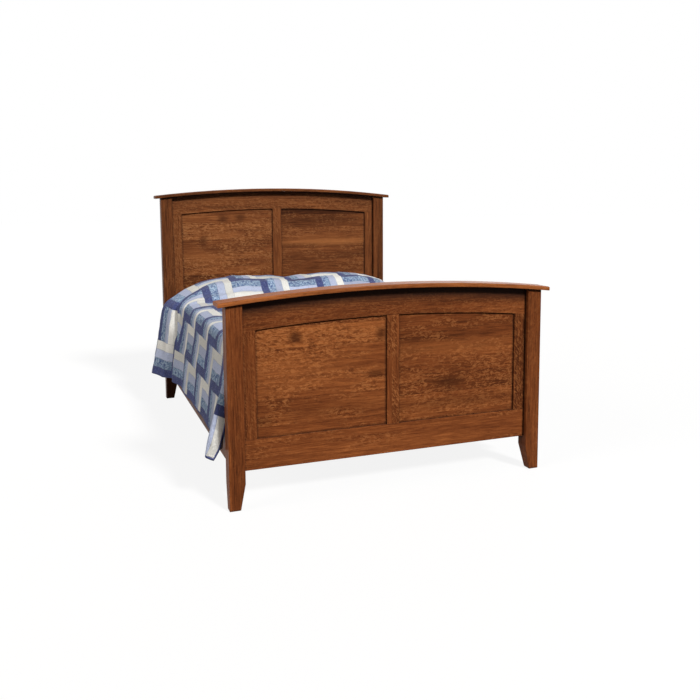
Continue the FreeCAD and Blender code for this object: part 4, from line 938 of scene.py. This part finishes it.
def makePatchworkGroup():
    tree, given, result = newGroup("railFence", [("Vector", "Vector", None)],
                                   [("Color", "Color"), ("Height", "Float")])
    blockWidth, blockLength = quilt["width"] / quilt["columns"], quilt["length"] / quilt["rows"]
    block = (blockWidth + blockLength) / 2
    place = given["Vector"]
    wander = grainNoise(tree, place, (9.0, 9.0, 9.0), 1.0)
    wander = calc(tree, "MULTIPLY", calc(tree, "SUBTRACT", wander, 0.5), quilting["wander"])
    axes = splitAxes(tree, place)
    u = calc(tree, "DIVIDE", calc(tree, "ADD", axes["X"], wander), blockWidth)
    fromHead = calc(tree, "SUBTRACT", quilt["length"], axes["Y"])
    v = calc(tree, "DIVIDE", calc(tree, "ADD", fromHead, wander), blockLength)
    column, row = calc(tree, "FLOOR", u), calc(tree, "FLOOR", v)
    odd = calc(tree, "PINGPONG", calc(tree, "ADD", column, row), 1.0)
    intoU, intoV = calc(tree, "SUBTRACT", u, column), calc(tree, "SUBTRACT", v, row)
    t = put(tree, "ShaderNodeMix", {0: odd, 2: intoU, 3: intoV}, data_type="FLOAT").outputs[0]
    strip = calc(tree, "FLOOR", calc(tree, "MULTIPLY", t, 4.0))
    number = calc(tree, "MULTIPLY_ADD", column, 3.17, calc(tree, "MULTIPLY_ADD", row, 7.91, strip))
    random = put(tree, "ShaderNodeTexWhiteNoise", {"W": number}, noise_dimensions="1D").outputs["Value"]

    # Leaves on navy, a mottled print, a fine sprig and a plain tone on tone.
    leafPlace = calcVector(tree, "MULTIPLY", place, quilting["leaves"])
    leaves = put(tree, "ShaderNodeTexVoronoi", {"Vector": leafPlace, "Scale": 1.0})
    patterns = {"leaves": leaves.outputs["Distance"]}
    for key in ("clouds", "specks"):
        patterns[key] = grainNoise(tree, place, *quilting[key])
    colour = None
    for index, (cloth, marks) in enumerate(quilt["prints"].values()):
        for pattern, low, high, start, end, printed in marks:
            mark = fade(tree, patterns[pattern], low, high, start, end)
            cloth = blendColour(tree, mark, cloth, printed)
        isStrip = calc(tree, "COMPARE", strip, float(index), 0.5)
        colour = blendColour(tree, isStrip, colour, cloth) if index else cloth
    shade = fade(tree, random, 0.0, 1.0, *quilting["shades"])
    colour = calcVector(tree, "MULTIPLY", colour, allAxes(tree, shade))

    # Seams between strips and blocks, stitching beside them and a wandering quilting line.
    fromSeam = calc(tree, "PINGPONG", calc(tree, "MULTIPLY", t, 4.0), 0.5)
    nearest = calc(tree, "MULTIPLY", fromSeam, block / 4)
    edgeU, edgeV = [calc(tree, "MULTIPLY", calc(tree, "PINGPONG", edge, 0.5), block) for edge in (u, v)]
    nearest = calc(tree, "MINIMUM", nearest, calc(tree, "MINIMUM", edgeU, edgeV))
    puff = fade(tree, nearest, 0.0, quilting["puffWidth"])
    seam = fade(tree, nearest, *quilting["seamWidth"], 1.0, 0.0)
    bend = put(tree, "ShaderNodeTexNoise", {"Vector": place, "Scale": 30.0, "Detail": 1.0}).outputs["Color"]
    bentPlace = calcVector(tree, "ADD", place, bend)
    cells = put(tree, "ShaderNodeTexVoronoi", {"Vector": bentPlace, "Scale": quilting["stitchScale"]},
                feature="DISTANCE_TO_EDGE").outputs["Distance"]
    stitches = fade(tree, cells, 0.0, quilting["stitchWidth"], quilting["stitchShade"], 0.0)
    seam = calc(tree, "MULTIPLY", seam, quilting["seamShade"])
    colour = blendColour(tree, seam, colour, quilting["seamColour"])
    colour = blendColour(tree, stitches, colour, quilting["stitchColour"])

    # A navy binding runs round the hem.
    fromHem = None
    for axis, size in (("X", quilt["width"]), ("Y", quilt["length"])):
        fromEdge = calc(tree, "MINIMUM", axes[axis], calc(tree, "SUBTRACT", size, axes[axis]))
        fromHem = calc(tree, "MINIMUM", fromHem, fromEdge) if fromHem else fromEdge
    hem = calc(tree, "LESS_THAN", fromHem, quilt["binding"])
    colour = blendColour(tree, hem, colour, navy)
    fromBinding = calc(tree, "ABSOLUTE", calc(tree, "SUBTRACT", fromHem, quilt["binding"]))
    stipple = fade(tree, cells, 0.0, quilting["stippleWidth"])
    stipple = calc(tree, "MULTIPLY", stipple, quilting["stippleHeight"])
    height = calc(tree, "MULTIPLY_ADD", puff, quilting["puffHeight"], stipple)
    height = calc(tree, "MULTIPLY", height, fade(tree, fromBinding, 0.0, 0.003))
    connect(tree, result["Color"], colour)
    connect(tree, result["Height"], height)
    return tree


def makeWeaveGroup():
    inputs = [("Vector", "Vector", None), ("Threads", "Float", 900.0)]
    tree, given, result = newGroup("plainWeave", inputs, [("Height", "Float"), ("Shade", "Float")])
    axes = splitAxes(tree, given["Vector"])
    warp, weft = [calc(tree, "SINE", calc(tree, "MULTIPLY", axes[axis], given["Threads"])) for axis in "XY"]
    weave = calc(tree, "MULTIPLY_ADD", calc(tree, "MULTIPLY", warp, weft), 0.5, 0.5)
    slub = grainNoise(tree, given["Vector"], (260.0, 60.0, 260.0), 2.0)
    connect(tree, result["Height"], calc(tree, "MULTIPLY_ADD", slub, 0.5, weave))
    connect(tree, result["Shade"], fade(tree, slub, 0.3, 0.7, 0.93, 1.05))
    return tree


plainWeave = makeWeaveGroup()


clothFinish = {
    "weaveShare": 0.06,                     # of the relief, under a pattern
    "glossScale": 12.0, "glossSpread": 0.08,
    "sheenRoughness": 0.45, "specular": 0.2,
}


def makeCloth(name, colour, uvMap=None, threads=2600.0, roughness=0.86, sheen=0.15, bump=0.25,
              depth=0.0008):
    # Plain woven cloth. Colour is three numbers, or a function that builds a colour and a relief.
    material, tree, shader = newMaterial(name)
    place = put(tree, "ShaderNodeUVMap", uv_map=uvMap).outputs[0] if uvMap else objectPlace(tree)
    weave = useGroup(tree, plainWeave, {"Vector": place, "Threads": threads})
    height = weave["Height"]
    if callable(colour):
        colour, relief = colour(tree, place)
        height = calc(tree, "MULTIPLY_ADD", height, clothFinish["weaveShare"], relief)
    shaded = calcVector(tree, "MULTIPLY", allAxes(tree, weave["Shade"]), colour)
    connect(tree, shader["Base Color"], shaded)
    connect(tree, shader["Roughness"], unevenRoughness(tree, place, clothFinish, roughness))
    shader["Sheen Weight"].default_value = sheen
    shader["Sheen Roughness"].default_value = clothFinish["sheenRoughness"]
    shader["Specular IOR Level"].default_value = clothFinish["specular"]
    addBump(tree, shader, height, bump, depth)
    return material


def patchworkColour(tree, place):
    pattern = useGroup(tree, patchwork, {"Vector": place})
    return pattern["Color"], pattern["Height"]


patchwork = makePatchworkGroup()
patchworkQuilt = linkMesh("patchworkQuilt", makeQuiltMesh())
quiltCloth = {"uvMap": "quiltFlat", "depth": quilt["reliefDepth"]}
quiltTop = makeCloth("quiltTop", patchworkColour, roughness=0.88, sheen=0.12, bump=quilt["relief"],
                     **quiltCloth)
quiltBacking = makeCloth("quiltBacking", quilt["backing"], **quiltCloth)
quiltBinding = makeCloth("quiltBinding", navy, **quiltCloth)
for quiltLayer in (quiltTop, quiltBacking, quiltBinding):
    patchworkQuilt.data.materials.append(quiltLayer)
thicken = patchworkQuilt.modifiers.new("batting", "SOLIDIFY")
thicken.thickness = quilt["thickness"]
thicken.offset = -1
thicken.use_even_offset = False
thicken.material_offset = 1
thicken.material_offset_rim = 2
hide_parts("quilt")
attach(patchworkQuilt, "root")
print("quilt laid")


pillow = {
    "halfLength": 0.292, "halfDepth": 0.202,
    "centre": (0.310, 0.726),
    "rest": 0.6868, "seam": 0.718, "top": 0.7885,
    "squareness": 3.4, "pull": 0.030,   # seams pull in between the corners
    "crown": 0.80, "slump": 0.006,
    "shrink": 0.007,                    # the form starts this much smaller and swells
    "voxel": 0.006, "frames": 20, "cap": 0.009,
    "clearance": 0.0190,                # below the quilt's outer face
    "quiltEnd": 0.84,                   # the quilt lies on the pillows up to this place
    "limit": (0.2945, 0.2045),          # half length and depth that the pillow never passes
    "creases": 0.0035, "creaseWaves": 26, "unevenRest": 0.0006,
    "hem": {"at": 0.060, "depth": 0.0016, "width": 0.004},
    "cotton": (0.820, 0.810, 0.770),
    "filling": {
        "quality": 5, "mass": 0.25,
        "tension_stiffness": 12, "compression_stiffness": 12,
        "shear_stiffness": 6, "bending_stiffness": 0.6,
        "use_pressure": True, "uniform_pressure_force": 4.0,
    },
}
mattress = {
    "half": (0.6855, 0.952, 0.1265), "middle": 0.5585,
    "corner": (0.070, 0.070, 0.052),
    "step": 0.0165,
    "quilting": 0.160, "quiltingDepth": 0.0045, "grooveWidth": 0.16,
    "sideBulge": 0.003, "sideStart": 0.66,
    "tapeRadius": 0.0055, "tapeAngle": 48.0,
    "ticking": (0.790, 0.770, 0.710), "figure": (0.690, 0.670, 0.610),
    "tape": (0.560, 0.600, 0.680),
}
foundation = {
    "half": (0.6855, 0.952, 0.1143), "middle": 0.3165,
    "corner": (0.030, 0.030, 0.014),
    "step": 0.024,
    "waist": 0.0035,                    # the cover pulls in between its two frames
    "tapeRadius": 0.0042, "tapeAngle": 45.0,
    "cover": (0.740, 0.715, 0.650), "tape": (0.620, 0.600, 0.540),
    "dustCover": (0.090, 0.090, 0.095),
}


def quiltHeight(x, y):
    # Height of the quilt's outer face over a place of the bed.
    section = quiltSection(round(y, 3))
    return onLines([point for point in section if point[0] <= 0.80], abs(x))


def replaceMesh(piece, mesh):
    old = piece.data
    piece.modifiers.clear()
    piece.data = mesh
    bpy.data.meshes.remove(old)


def evaluatedMesh(piece):
    graph = bpy.context.evaluated_depsgraph_get()
    graph.update()
    return bpy.data.meshes.new_from_object(piece.evaluated_get(graph))


def pillowForm(side):
    # A pillow's skin: two crowned faces that meet in a seam all round, pulled in between the corners.
    form = bmesh.new()
    bmesh.ops.create_uvsphere(form, u_segments=96, v_segments=48, radius=1.0)
    power, shrink, seam = pillow["squareness"], pillow["shrink"], pillow["seam"]
    middle = (side * pillow["centre"][0], pillow["centre"][1])
    halfLength, halfDepth = pillow["halfLength"] - shrink, pillow["halfDepth"] - shrink
    for vert in form.verts:
        x, y, z = vert.co
        flat, angle = math.hypot(x, y), math.atan2(y, x)
        across, back = math.cos(angle), math.sin(angle)
        reach = (abs(across) ** power + abs(back) ** power) ** (-1 / power)
        pulled = 1.0 - pillow["pull"] * math.cos(2 * angle) ** 2 * flat
        spread = (math.sin(flat * math.pi / 2) if flat < 1 else 1.0) * reach * pulled
        rise = abs(z) ** pillow["crown"]
        height = pillow["top"] - seam - shrink if z > 0 else pillow["rest"] - seam + shrink
        slump = pillow["slump"] * ripple(x * 1.5 + side * 3, y * 1.5, 4.0) * rise
        vert.co = (middle[0] + spread * across * halfLength, middle[1] + spread * back * halfDepth,
                   seam + height * rise + slump)
    return meshFrom(form, "pillowForm")


def swell(piece):
    # Even voxels, then a short cloth run under pressure; no point may move further than the cap.
    remesh = piece.modifiers.new("evenCells", "REMESH")
    remesh.mode = "VOXEL"
    remesh.voxel_size = pillow["voxel"]
    replaceMesh(piece, evaluatedMesh(piece))
    start = [vert.co.copy() for vert in piece.data.vertices]
    cloth = piece.modifiers.new("filling", "CLOTH")
    for name, value in pillow["filling"].items():
        setattr(cloth.settings, name, value)
    cloth.settings.effector_weights.gravity = 0
    cloth.collision_settings.use_collision = False
    cloth.point_cache.frame_start = 1
    cloth.point_cache.frame_end = pillow["frames"]
    for frameNumber in range(1, pillow["frames"] + 1):
        bpy.context.scene.frame_set(frameNumber)
    replaceMesh(piece, evaluatedMesh(piece))
    bpy.context.scene.frame_set(1)
    for vert, origin in zip(piece.data.vertices, start):
        step = vert.co - origin
        if step.length > pillow["cap"]:
            vert.co = origin + step * (pillow["cap"] / step.length)


def settlePillow(piece, side):
    # Flat where it rests, clear of the quilt above, with creases from the corners and a stitched hem.
    hem, limit = pillow["hem"], pillow["limit"]
    middleX, middleY = side * pillow["centre"][0], pillow["centre"][1]
    for vert in piece.data.vertices:
        x, y, z = vert.co
        across, back = (x - middleX) / pillow["halfLength"], (y - middleY) / pillow["halfDepth"]
        waves = math.atan2(back, across) * pillow["creaseWaves"] + 2.5 * ripple(x * 8, y * 8, side)
        crease = pillow["creases"] * grow(abs(across) + abs(back), 0.85, 0.7) * math.sin(waves)
        fromEnd = pillow["halfLength"] - abs(x - middleX) if side * across > 0 else 1.0
        stitch = -hem["depth"] * bell(fromEnd, hem["at"], hem["width"])
        z += (crease + stitch) * (1 if z > pillow["seam"] else -0.3)
        z = max(z, pillow["rest"] + pillow["unevenRest"] * (1 + ripple(x * 14, y * 14, 9.0)))
        if y < pillow["quiltEnd"]:
            z = min(z, quiltHeight(x, y) - pillow["clearance"])
        x = middleX + clamp(x - middleX, -limit[0], limit[0])
        y = middleY + clamp(y - middleY, -limit[1], limit[1])
        vert.co = (x, y, min(z, pillow["top"] + 0.001))


def roundedForm(values, name):
    # A block with rounded edges as an even net, and a piping cord round its upper and lower edges.
    half, corner, middle = Vector(values["half"]), Vector(values["corner"]), values["middle"]
    form = bmesh.new()
    counts = [max(round(2 * length / values["step"]), 2) for length in half]
    for axis in range(3):
        first, second = [other for other in range(3) if other != axis]
        for side in (-1, 1):
            grid = bmesh.ops.create_grid(form, x_segments=counts[first], y_segments=counts[second],
                                         size=1.0)
            for vert in grid["verts"]:
                place = [0, 0, 0]
                place[first], place[second], place[axis] = vert.co.x, vert.co.y, side
                vert.co = place
    bmesh.ops.remove_doubles(form, verts=form.verts, dist=0.0001)
    bmesh.ops.recalc_face_normals(form, faces=form.faces)
    for vert in form.verts:
        place = Vector([share * length for share, length in zip(vert.co, half)])
        inner = Vector([clamp(value, reach - length, length - reach)
                        for value, length, reach in zip(place, half, corner)])
        step = Vector([(value - core) / reach for value, core, reach in zip(place, inner, corner)])
        if step.length > 0:
            step.normalize()
        turned = Vector([part * reach for part, reach in zip(step, corner)])
        vert.co = inner + turned + Vector((0, 0, middle))
    for level in (-1, 1):
        addCord(form, values, level)
    return meshFrom(form, name)


def addCord(form, values, level):
    # A closed tube round the block, half sunk where its top or bottom turns into its sides.
    half, corner = values["half"], values["corner"]
    tilt = math.radians(values["tapeAngle"])
    inset = corner[0] * (1 - math.cos(tilt))
    up = values["middle"] + level * (half[2] - corner[2] * (1 - math.sin(tilt)))
    halfX, halfY, turn = half[0] - inset, half[1] - inset, corner[0] - inset + 0.004
    centres = []
    parts = 8                               # of each quarter turn
    for quarter, (sideX, sideY) in enumerate(((1, 1), (-1, 1), (-1, -1), (1, -1))):
        for part in range(parts + 1):
            angle = math.radians(quarter * 90 + part * 90 / parts)
            centres.append(Vector((sideX * (halfX - turn) + turn * math.cos(angle),
                                   sideY * (halfY - turn) + turn * math.sin(angle), up)))
    rings = []
    for index, centre in enumerate(centres):
        ahead, behind = centres[(index + 1) % len(centres)], centres[index - 1]
        facing = (ahead - behind).to_track_quat("Z", "Y").to_matrix().to_4x4()
        made = bmesh.ops.create_circle(form, segments=8, radius=values["tapeRadius"],
                                       matrix=Matrix.Translation(centre) @ facing)
        rings.append(list(dict.fromkeys(edge for vert in made["verts"] for edge in vert.link_edges)))
    tube = []
    for first, second in zip(rings, rings[1:] + rings[:1]):
        tube += bmesh.ops.bridge_loops(form, edges=first + second)["faces"]
    for face in tube:
        face.material_index = 1
    bmesh.ops.recalc_face_normals(form, faces=tube)


def makeMattressMesh():
    mesh = roundedForm(mattress, "quiltedMattress")
    spacing, sideBulge = mattress["quilting"], mattress["sideBulge"]
    for vert in mesh.vertices:
        x, y, z = vert.co
        lines = [abs(((x + sign * y) / spacing) % 1.0 - 0.5) for sign in (1, -1)]
        groove = max(1 - smoothStep((0.5 - line) / mattress["grooveWidth"]) for line in lines)
        level = (z - mattress["middle"]) / mattress["half"][2]
        pressed = mattress["quiltingDepth"] * groove * grow(abs(level), 0.80, 0.18)
        vert.co.z -= math.copysign(pressed, level)
        bulge = sideBulge * (1 - level * level) * math.sin(8 * math.pi * y) ** 2
        if abs(x) > mattress["sideStart"]:
            vert.co.x -= math.copysign(sideBulge - bulge, x) * smoothStep((1 - abs(level)) / 0.3)
    return mesh


def makeFoundationMesh():
    mesh = roundedForm(foundation, "coveredFoundation")
    for polygon in mesh.polygons:
        if polygon.material_index == 0 and polygon.normal.z < -0.9:
            polygon.material_index = 2
    for vert in mesh.vertices:
        level = (vert.co.z - foundation["middle"]) / foundation["half"][2]
        pull = foundation["waist"] * smoothStep((1 - abs(level)) / 0.8)
        for axis in (0, 1):
            if abs(vert.co[axis]) > foundation["half"][axis] - 0.012:
                vert.co[axis] -= math.copysign(pull, vert.co[axis])
    return mesh


def tickingColour(tree, place):
    # A woven figure under diagonal quilting lines.
    axes = splitAxes(tree, place)
    nearest = None
    for operation in ("ADD", "SUBTRACT"):
        line = calc(tree, "DIVIDE", calc(tree, operation, axes["X"], axes["Y"]), mattress["quilting"])
        line = calc(tree, "PINGPONG", calc(tree, "ADD", line, 0.5), 0.5)
        nearest = calc(tree, "MINIMUM", nearest, line) if nearest else line
    cells = put(tree, "ShaderNodeTexVoronoi", {"Vector": place, "Scale": 26.0}, feature="SMOOTH_F1")
    figure = fade(tree, cells.outputs[0], 0.30, 0.46)
    colour = blendColour(tree, calc(tree, "MULTIPLY", figure, 0.6), mattress["ticking"], mattress["figure"])
    puff = calc(tree, "MULTIPLY", fade(tree, nearest, 0.0, mattress["grooveWidth"]), 0.8)
    return colour, calc(tree, "MULTIPLY_ADD", figure, 0.10, puff)


def declareSoft(piece, node, materials):
    for material in materials:
        piece.data.materials.append(material)
    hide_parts(node)
    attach(piece, "root")


pillowCotton = makeCloth("pillowCotton", pillow["cotton"], None, 3600.0, 0.85, 0.10, 0.20)
for sideName, sideSign in (("left", -1), ("right", 1)):
    case = linkMesh(f"{sideName}Pillowcase", pillowForm(sideSign))
    swell(case)
    settlePillow(case, sideSign)
    case.data.shade_smooth()
    finer = case.modifiers.new("finer", "SUBSURF")
    finer.levels = 1
    finer.render_levels = 1
    declareSoft(case, f"{sideName}_pillow", [pillowCotton])
print("pillows filled")

tickings = [makeCloth("mattressTicking", tickingColour, None, 2600.0, 0.84, 0.10, 0.45),
            makeCloth("mattressTape", mattress["tape"], None, 3000.0, 0.80, 0.10, 0.20)]
quiltedMattress = linkMesh("quiltedMattress", makeMattressMesh())
declareSoft(quiltedMattress, "mattress", tickings)
covers = [makeCloth("foundationCover", foundation["cover"], None, 2600.0, 0.86, 0.08, 0.25),
          makeCloth("foundationTape", foundation["tape"], None, 3000.0, 0.82, 0.08, 0.20),
          makeCloth("dustCover", foundation["dustCover"], None, 900.0, 0.90, 0.0, 0.20)]
coveredFoundation = linkMesh("coveredFoundation", makeFoundationMesh())
declareSoft(coveredFoundation, "foundation", covers)
print("mattress and foundation covered")
